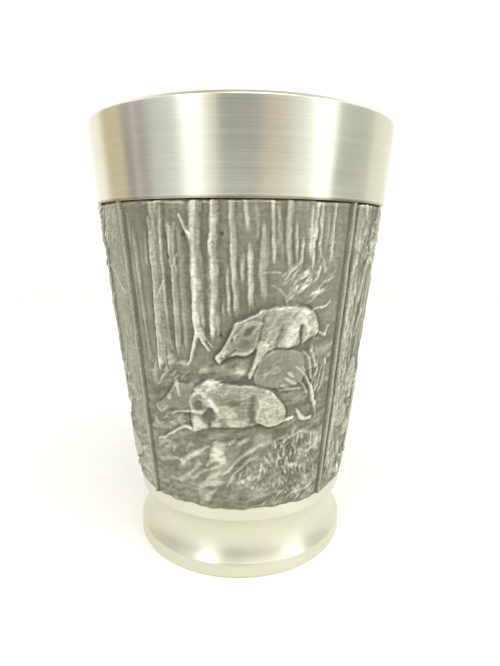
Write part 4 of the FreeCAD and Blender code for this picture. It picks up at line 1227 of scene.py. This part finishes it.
def divider_rib(place, material):
    """A cast rib: a rounded bar that wanders a little, rubbed bright along its crest."""
    node = f"divider_rib_{place}"
    random = np.random.default_rng(abs(RIB_TURNS[place]))
    up = np.linspace(RELIEF_BOTTOM, RELIEF_TOP, RIB_ROWS)
    half = math.radians(HALF_QUARTER - PANEL_HALF_ANGLE)
    rise = outer_radius(node, RELIEF_TOP) - FIELD_TOP_RADIUS
    knots = np.linspace(RELIEF_BOTTOM, RELIEF_TOP, RIB_KNOTS)
    lean = np.interp(up, knots, random.normal(0, 0.08, RIB_KNOTS)) * half
    swell = 1 + np.interp(up, knots, random.normal(0, 0.09, RIB_KNOTS))
    swell += 0.03 * random.normal(size=RIB_ROWS)
    section = [(-1, None), (-1, -0.1), (-0.86, 0.08), (-0.66, 0.36), (-0.46, 0.70), (-0.22, 0.94), (0, 1)]
    section += [(-across, height) for across, height in section[-2::-1]]
    turn = math.radians(RIB_TURNS[place])
    height = up + edge_wave(turn) * near_foot(up)
    columns, tones = [], []
    for across, share in section:
        if share is None:
            radius, centre = back_radius(height), turn
        else:
            radius = field_radius(height) + rise * share * (swell if share > 0 else 1)
            centre = turn + lean * max(share, 0)
        columns.append(on_cup(radius, centre + across * half, height))
        tones.append(0.24 + 0.34 * (share or 0) ** 2 + 0.05 * random.normal(size=RIB_ROWS))
    count = len(section)
    points = np.stack(columns, axis=1).reshape(-1, 3)
    faces = []
    for row in range(RIB_ROWS - 1):
        for i in range(count):
            after = (i + 1) % count
            low, high = row * count, (row + 1) * count
            faces.append([low + i, low + after, high + after, high + i])
    faces.append(list(range(count))[::-1])
    faces.append([(RIB_ROWS - 1) * count + i for i in range(count)])
    wear = np.clip(np.stack(tones, axis=1), 0, 1).ravel()
    return add_piece(node + "_cast", points, faces, material, node, wear)


def turned_pieces(outside, foot_metal, inside, solder):
    """Collar, liner, foot, floor disc and its ring of solder, with their edges eased."""
    lip_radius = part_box("rim_collar")[1].x / MM
    lip_bevel, mouth_bevel = 0.35, 0.2
    turned_piece(
        "rim_collar",
        [
            corner(back_radius(LIP), LIP),
            corner(lip_radius - lip_bevel, LIP, 0.08),
            corner(lip_radius, LIP - lip_bevel, 0.10, step=TOOL_STEP),
            corner(outer_radius("rim_collar", RELIEF_TOP), RELIEF_TOP, 0.02),
            corner(back_radius(RELIEF_TOP), RELIEF_TOP),
        ],
        outside,
    )
    turned_piece(
        "cup_liner",
        [
            corner(inner_radius("cup_liner", LIP), LIP, 0.06),
            corner(back_radius(LIP), LIP),
            corner(back_radius(FLOOR_TOP), FLOOR_TOP),
            corner(inner_radius("cup_liner", FLOOR_TOP), FLOOR_TOP, step=BORE_STEP),
            corner(inner_radius("cup_liner", LIP - mouth_bevel), LIP - mouth_bevel, 0.06),
        ],
        inside,
    )
    floor_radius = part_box("floor_disc")[1].x / MM
    turned_piece(
        "floor_disc",
        [
            corner(0, FLOOR_TOP, step=DISC_STEP),
            corner(floor_radius, FLOOR_TOP),
            corner(floor_radius, FLOOR_UNDER, step=DISC_STEP),
            corner(0, FLOOR_UNDER),
        ],
        inside,
    )
    foot = node_points("foot_ring")
    foot_radius = foot[:, 0].max()
    foot_edge = foot[foot[:, 0] > foot_radius - 0.01, 1]
    shoulder = foot[(abs(foot[:, 0] - SHOULDER_RADIUS) < 0.01) & (foot[:, 1] > foot_edge.max()), 1]
    bore = inner_radius("foot_ring", FLOOR_UNDER)
    between = (foot[:, 1] > 1.5) & (foot[:, 1] < shoulder.min())
    cove = foot[(foot[:, 0] > floor_radius + 0.1) & between, 0]
    cove_sag = (SHOULDER_RADIUS + foot_radius) / 2 - cove.min()
    edge_bevel, bore_bevel = foot_edge.min(), 0.5
    turned_piece(
        "foot_ring",
        [
            corner(back_radius(RELIEF_BOTTOM), RELIEF_BOTTOM),
            corner(SHOULDER_RADIUS, RELIEF_BOTTOM, 0.06, step=TOOL_STEP),
            corner(SHOULDER_RADIUS, shoulder.min(), 0.45, step=TOOL_STEP, sag=cove_sag),
            corner(foot_radius, foot_edge.max(), 0.55),
            corner(foot_radius, edge_bevel, 0.12),
            corner(foot_radius - edge_bevel, 0, 0.04, step=TOOL_STEP),
            corner(bore + bore_bevel, 0, 0.06),
            corner(bore, bore_bevel, 0.12, step=BORE_STEP),
            corner(bore, FLOOR_UNDER),
            corner(floor_radius, FLOOR_UNDER),
            corner(floor_radius, FLOOR_TOP),
            corner(back_radius(FLOOR_TOP), FLOOR_TOP),
        ],
        foot_metal,
    )
    leg = bore - inner_radius("floor_solder_seam", FLOOR_UNDER)
    turned_piece(
        "floor_solder_seam",
        [
            corner(bore - leg, FLOOR_UNDER),
            corner(bore, FLOOR_UNDER),
            corner(bore, FLOOR_UNDER - leg, step=0.06, sag=0.10),
        ],
        solder,
        lumps=0.05,
    )


# ---------------------------------------------------------------- materials


def plug(tree, node, inputs):
    """Links each input of a node to a socket, or sets it to a constant."""
    for key, value in inputs.items():
        if isinstance(value, bpy.types.NodeSocket):
            tree.links.new(value, node.inputs[key])
        else:
            node.inputs[key].default_value = value


def add_node(tree, kind, inputs=None, **settings):
    """A shader node with its settings made and its inputs set or linked."""
    made = tree.nodes.new(kind)
    for name, value in settings.items():
        setattr(made, name, value)
    plug(tree, made, inputs or {})
    return made


def new_material(name):
    """A material, its node tree and its shader."""
    material = bpy.data.materials.new(name)
    material.use_nodes = True
    return material, material.node_tree, material.node_tree.nodes["Principled BSDF"]


def calculate(tree, operation, first, second=0.0):
    """The result of a maths node."""
    return add_node(tree, "ShaderNodeMath", {0: first, 1: second}, operation=operation).outputs[0]


def weighted(tree, first, share, second, other_share):
    """The sum of two values, each times its share."""
    parts = [calculate(tree, "MULTIPLY", first, share), calculate(tree, "MULTIPLY", second, other_share)]
    return calculate(tree, "ADD", *parts)


def mix_colours(tree, factor, first, second):
    """The first colour where the factor is 0, and the second where it is 1."""
    inputs = {"Factor": factor, 6: first, 7: second}
    return add_node(tree, "ShaderNodeMix", inputs, data_type="RGBA").outputs[2]


def spread(tree, value, low, high, start=0.0, end=1.0):
    """A value mapped from start..end to low..high."""
    inputs = {"Value": value, "From Min": start, "From Max": end, "To Min": low, "To Max": high}
    return add_node(tree, "ShaderNodeMapRange", inputs).outputs[0]


def ramp(tree, value, stops):
    """The colour that a ramp of (place, (red, green, blue)) stops gives for a value."""
    made = add_node(tree, "ShaderNodeValToRGB", {"Fac": value})
    elements = made.color_ramp.elements
    while len(elements) < len(stops):
        elements.new(0.5)
    for element, (place, colour) in zip(elements, stops):
        element.position = place
        element.color = (*colour, 1)
    return made.outputs["Color"]


def noise(tree, scale, detail=2.0, vector=None, along=None):
    """Noise between 0 and 1: over a vector, or along a single value."""
    inputs = {"Scale": scale, "Detail": detail}
    if along is None:
        inputs["Vector"] = vector
    else:
        inputs["W"] = along
    dimensions = "3D" if along is None else "1D"
    return add_node(tree, "ShaderNodeTexNoise", inputs, noise_dimensions=dimensions).outputs["Fac"]


TARNISH = (0.30, 0.24, 0.15, 1)


def turned_pewter(name, dark, light, roughness, anisotropy, tarnished_edge=None):
    """Lathe-turned pewter: fine rings cut round it, faint stains, and a few scratches."""
    material, tree, shader = new_material(name)
    place = add_node(tree, "ShaderNodeTexCoord").outputs["Object"]
    xyz = add_node(tree, "ShaderNodeSeparateXYZ", {"Vector": place}).outputs
    level = add_node(tree, "ShaderNodeCombineXYZ", {"X": xyz["X"], "Y": xyz["Y"]}).outputs[0]
    radius = add_node(tree, "ShaderNodeVectorMath", {0: level}, operation="LENGTH").outputs["Value"]
    tool_path = calculate(tree, "ADD", radius, xyz["Z"])
    fine = noise(tree, 9000, 3, along=tool_path)
    coarse = noise(tree, 1400, 2, along=tool_path)
    stain = noise(tree, 90, 4, vector=place)
    slant = {"Vector": place, "Rotation": (0.5, 0.9, 0.3), "Scale": (5200, 90, 90)}
    slanted = add_node(tree, "ShaderNodeMapping", slant).outputs[0]
    scratch = spread(tree, noise(tree, 1, 2, vector=slanted), 0, 1, 0.70, 0.76)
    rings = weighted(tree, fine, 0.75, coarse, 0.25)
    tone = weighted(tree, rings, 0.6, stain, 0.6)
    colour = ramp(tree, tone, [(0.35, dark), (0.80, light)])
    if tarnished_edge is not None:
        edge = tarnished_edge * MM
        tarnish = spread(tree, xyz["Z"], 1.0, 0.0, edge + 0.12 * MM, edge + 0.32 * MM)
        tarnish = calculate(tree, "MULTIPLY", tarnish, spread(tree, stain, 0.5, 1.0, 0.35, 0.6))
        colour = mix_colours(tree, tarnish, colour, TARNISH)
    uneven = weighted(tree, rings, 0.4, stain, 0.6)
    rough = spread(tree, uneven, roughness - 0.06, roughness + 0.08, 0.3, 0.7)
    cut = calculate(tree, "ADD", rings, calculate(tree, "MULTIPLY", scratch, -0.5))
    bump = add_node(tree, "ShaderNodeBump", {"Strength": 0.24, "Distance": 0.000008, "Height": cut})
    tangent = add_node(tree, "ShaderNodeTangent", direction_type="RADIAL", axis="Z")
    links = {"Base Color": colour, "Roughness": rough, "Normal": bump.outputs[0],
             "Tangent": tangent.outputs[0]}
    plug(tree, shader, links)
    shader.inputs["Metallic"].default_value = 1.0
    shader.inputs["Anisotropic"].default_value = anisotropy
    shader.inputs["Anisotropic Rotation"].default_value = 0.25
    return material


def cast_pewter(name, stops, rough_low=0.34, rough_high=0.60):
    """Cast pewter, blackened and then rubbed back: the wear attribute, which also holds some painted shade
    and sheen, says how bright it is.
    """
    material, tree, shader = new_material(name)
    place = add_node(tree, "ShaderNodeTexCoord").outputs["Object"]
    wear = add_node(tree, "ShaderNodeAttribute", attribute_name="wear").outputs["Fac"]
    grain = noise(tree, 6000, 4, vector=place)
    stain = noise(tree, 260, 3, vector=place)
    rubbed = add_node(tree, "ShaderNodeMapping", {"Vector": place, "Scale": (500, 500, 9000)})
    streak = noise(tree, 1, 2, vector=rubbed.outputs[0])
    streaks = spread(tree, streak, -0.05, 0.05, 0.3, 0.7)
    mottle = calculate(tree, "ADD", spread(tree, grain, -0.11, 0.11, 0.3, 0.7), streaks)
    mottle = calculate(tree, "MULTIPLY", mottle, wear)
    mottle = calculate(tree, "ADD", mottle, spread(tree, stain, -0.04, 0.04, 0.3, 0.7))
    tone = calculate(tree, "ADD", wear, mottle)
    bump = add_node(tree, "ShaderNodeBump", {"Strength": 0.25, "Distance": 0.00002, "Height": grain})
    metallic = spread(tree, tone, 0.72, 1.0, 0.1, 0.7)
    rough = spread(tree, tone, rough_high, rough_low, 0.1, 0.9)
    plug(tree, shader, {"Base Color": ramp(tree, tone, stops), "Metallic": metallic})
    plug(tree, shader, {"Roughness": rough, "Normal": bump.outputs[0]})
    return material


PATINA = [
    (0.00, (0.065, 0.063, 0.048)),
    (0.22, (0.160, 0.158, 0.122)),
    (0.38, (0.275, 0.273, 0.210)),
    (0.68, (0.540, 0.542, 0.442)),
    (1.00, (0.840, 0.845, 0.740)),
]


# ---------------------------------------------------------------- light, floor and camera

CAMERA_AZIMUTH = math.radians(2.5)
LIGHT_DISTANCE = 0.5
TABLE_RADIUS = 0.32


def paint_world():
    """A pale room round the cup: what stands on each side shows in the turned metal.

    The camera itself sees plain white.
    """
    world = bpy.data.worlds.new("studio")
    bpy.context.scene.world = world
    world.use_nodes = True
    tree = world.node_tree
    direction = add_node(tree, "ShaderNodeTexCoord").outputs["Generated"]
    xyz = add_node(tree, "ShaderNodeSeparateXYZ", {"Vector": direction}).outputs
    toward_camera = calculate(tree, "MULTIPLY", xyz["Y"], -1)
    azimuth = calculate(tree, "ARCTAN2", xyz["X"], toward_camera)
    turned = calculate(tree, "SUBTRACT", azimuth, CAMERA_AZIMUTH)
    share = calculate(tree, "ADD", calculate(tree, "DIVIDE", turned, 2 * math.pi), 0.5)
    walls = ramp(tree, share, [(0.5 + degrees / 360, colour) for degrees, colour in ROOM])
    overhead = spread(tree, xyz["Z"], 0, 1, 0.14, 0.66)
    above = ramp(tree, xyz["Z"], [(0.70, (1.24, 1.24, 1.21)), (0.92, (0.64, 0.61, 0.47))])
    ceiling = mix_colours(tree, overhead, walls, above)
    room = add_node(tree, "ShaderNodeBackground", {"Color": ceiling, "Strength": 1.0})
    plain = add_node(tree, "ShaderNodeBackground", {"Color": (1, 1, 0.985, 1), "Strength": 1.1})
    seen = add_node(tree, "ShaderNodeLightPath").outputs["Is Camera Ray"]
    both = add_node(tree, "ShaderNodeMixShader", {0: seen, 1: room.outputs[0], 2: plain.outputs[0]})
    tree.links.new(both.outputs[0], tree.nodes["World Output"].inputs["Surface"])


ROOM = [
    # degrees to the right of the camera's direction, seen from the cup
    (-180, (1.20, 1.18, 1.16)),
    (-122, (1.10, 1.06, 0.99)),
    (-112, (0.70, 0.60, 0.42)),
    (-94, (0.74, 0.64, 0.48)),
    (-89, (0.42, 0.38, 0.37)),
    (-84, (0.40, 0.36, 0.36)),
    (-80, (0.72, 0.64, 0.64)),
    (-76, (0.46, 0.43, 0.44)),
    (-70, (0.50, 0.47, 0.49)),
    (-66, (0.66, 0.68, 0.67)),
    (-47, (0.76, 0.80, 0.79)),
    (-42, (1.06, 1.10, 1.08)),
    (-37, (1.42, 1.47, 1.45)),
    (-31, (1.52, 1.56, 1.53)),
    (-25, (1.02, 1.01, 0.95)),
    (-18, (0.78, 0.73, 0.67)),
    (-14, (0.31, 0.33, 0.32)),
    (11, (0.33, 0.35, 0.34)),
    (16, (0.62, 0.52, 0.45)),
    (32, (0.74, 0.68, 0.58)),
    (38, (0.86, 0.90, 0.86)),
    (50, (0.98, 1.02, 1.00)),
    (55, (1.60, 1.60, 1.58)),
    (66, (1.60, 1.60, 1.58)),
    (71, (0.56, 0.60, 0.56)),
    (86, (0.58, 0.61, 0.56)),
    (104, (0.66, 0.68, 0.60)),
    (110, (0.92, 0.91, 0.79)),
    (150, (1.05, 1.03, 0.93)),
    (180, (1.20, 1.18, 1.16)),
]


def pale_floor():
    """A wide white table top under the cup."""
    material, tree, shader = new_material("table_white")
    place = add_node(tree, "ShaderNodeTexCoord").outputs["Object"]
    cloud = noise(tree, 9, 3, vector=place)
    colour = ramp(tree, cloud, [(0.3, (0.95, 0.95, 0.94)), (0.7, (0.97, 0.97, 0.965))])
    tree.links.new(colour, shader.inputs["Base Color"])
    shader.inputs["Roughness"].default_value = 0.6
    bpy.ops.mesh.primitive_circle_add(vertices=96, radius=TABLE_RADIUS, fill_type="NGON")
    table = bpy.context.object
    table.name = "table_top"
    table.data.materials.append(material)


def soft_light(name, azimuth, elevation, size, power):
    """A square area light that faces the cup, placed by degrees from the camera's direction."""
    light = bpy.data.lights.new(name, "AREA")
    light.size = size
    light.energy = power
    lamp = bpy.data.objects.new(name, light)
    bpy.context.scene.collection.objects.link(lamp)
    around = math.radians(azimuth) + CAMERA_AZIMUTH
    up = math.radians(elevation)
    aim = Vector((math.sin(around) * math.cos(up), -math.cos(around) * math.cos(up), math.sin(up)))
    lamp.location = aim * LIGHT_DISTANCE
    lamp.rotation_euler = aim.to_track_quat("Z", "Y").to_euler()


def place_camera():
    """The camera: a phone held close, a little below the height of the lip, and looking down."""
    reach, height = 66.05 * MM, 41.85 * MM
    look_down, look_right, tilt = math.radians(11.70), math.radians(1.11), math.radians(-0.379)
    data = bpy.data.cameras.new("camera")
    data.lens = 25.53
    data.sensor_width = 36
    data.clip_start = 0.005
    camera = bpy.data.objects.new("camera", data)
    bpy.context.scene.collection.objects.link(camera)
    camera.location = (reach * math.sin(CAMERA_AZIMUTH), -reach * math.cos(CAMERA_AZIMUTH), height)
    heading = CAMERA_AZIMUTH - look_right
    camera.rotation_mode = "XYZ"
    turn = Matrix.Rotation(heading, 3, "Z")
    pitch = Matrix.Rotation(math.radians(90) - look_down, 3, "X")
    roll = Matrix.Rotation(-tilt, 3, "Z")
    camera.rotation_euler = (turn @ pitch @ roll).to_euler()
    bpy.context.scene.camera = camera


# ---------------------------------------------------------------- the whole

place_camera()
paint_world()
pale_floor()
soft_light("overhead_softbox", azimuth=20, elevation=60, size=0.3, power=0.7)
soft_light("left_window", azimuth=-35, elevation=27, size=0.09, power=0.25)
soft_light("right_window", azimuth=57, elevation=27, size=0.09, power=0.25)
bpy.context.scene.view_settings.view_transform = "Standard"

# name, darker and lighter colour, roughness, how strongly the rings stretch a highlight
bright = turned_pewter("turned_pewter", (0.70, 0.69, 0.58), (0.81, 0.80, 0.69), 0.20, 0.55, RELIEF_TOP)
# The foot's colours are darker and yellower than the collar's: painted shade and a painted warm reflection
# on the same pewter. Its higher roughness is its own.
foot_metal = turned_pewter("foot_pewter", (0.65, 0.64, 0.51), (0.76, 0.75, 0.62), 0.31, 0.6)
dull = turned_pewter("inner_pewter", (0.62, 0.61, 0.53), (0.76, 0.75, 0.66), 0.28, 0.5)
solder = turned_pewter("solder_metal", (0.58, 0.57, 0.53), (0.68, 0.67, 0.62), 0.38, 0.0)
patinated = cast_pewter("patinated_pewter", PATINA)
turned_pieces(bright, foot_metal, dull, solder)
SCENES = {"boars": boars_scene, "stag": stag_scene, "fox": fox_scene, "pheasant": pheasant_scene}
for motif, scene in SCENES.items():
    relief_panel(motif, scene(), patinated)
for place in RIB_TURNS:
    divider_rib(place, patinated)
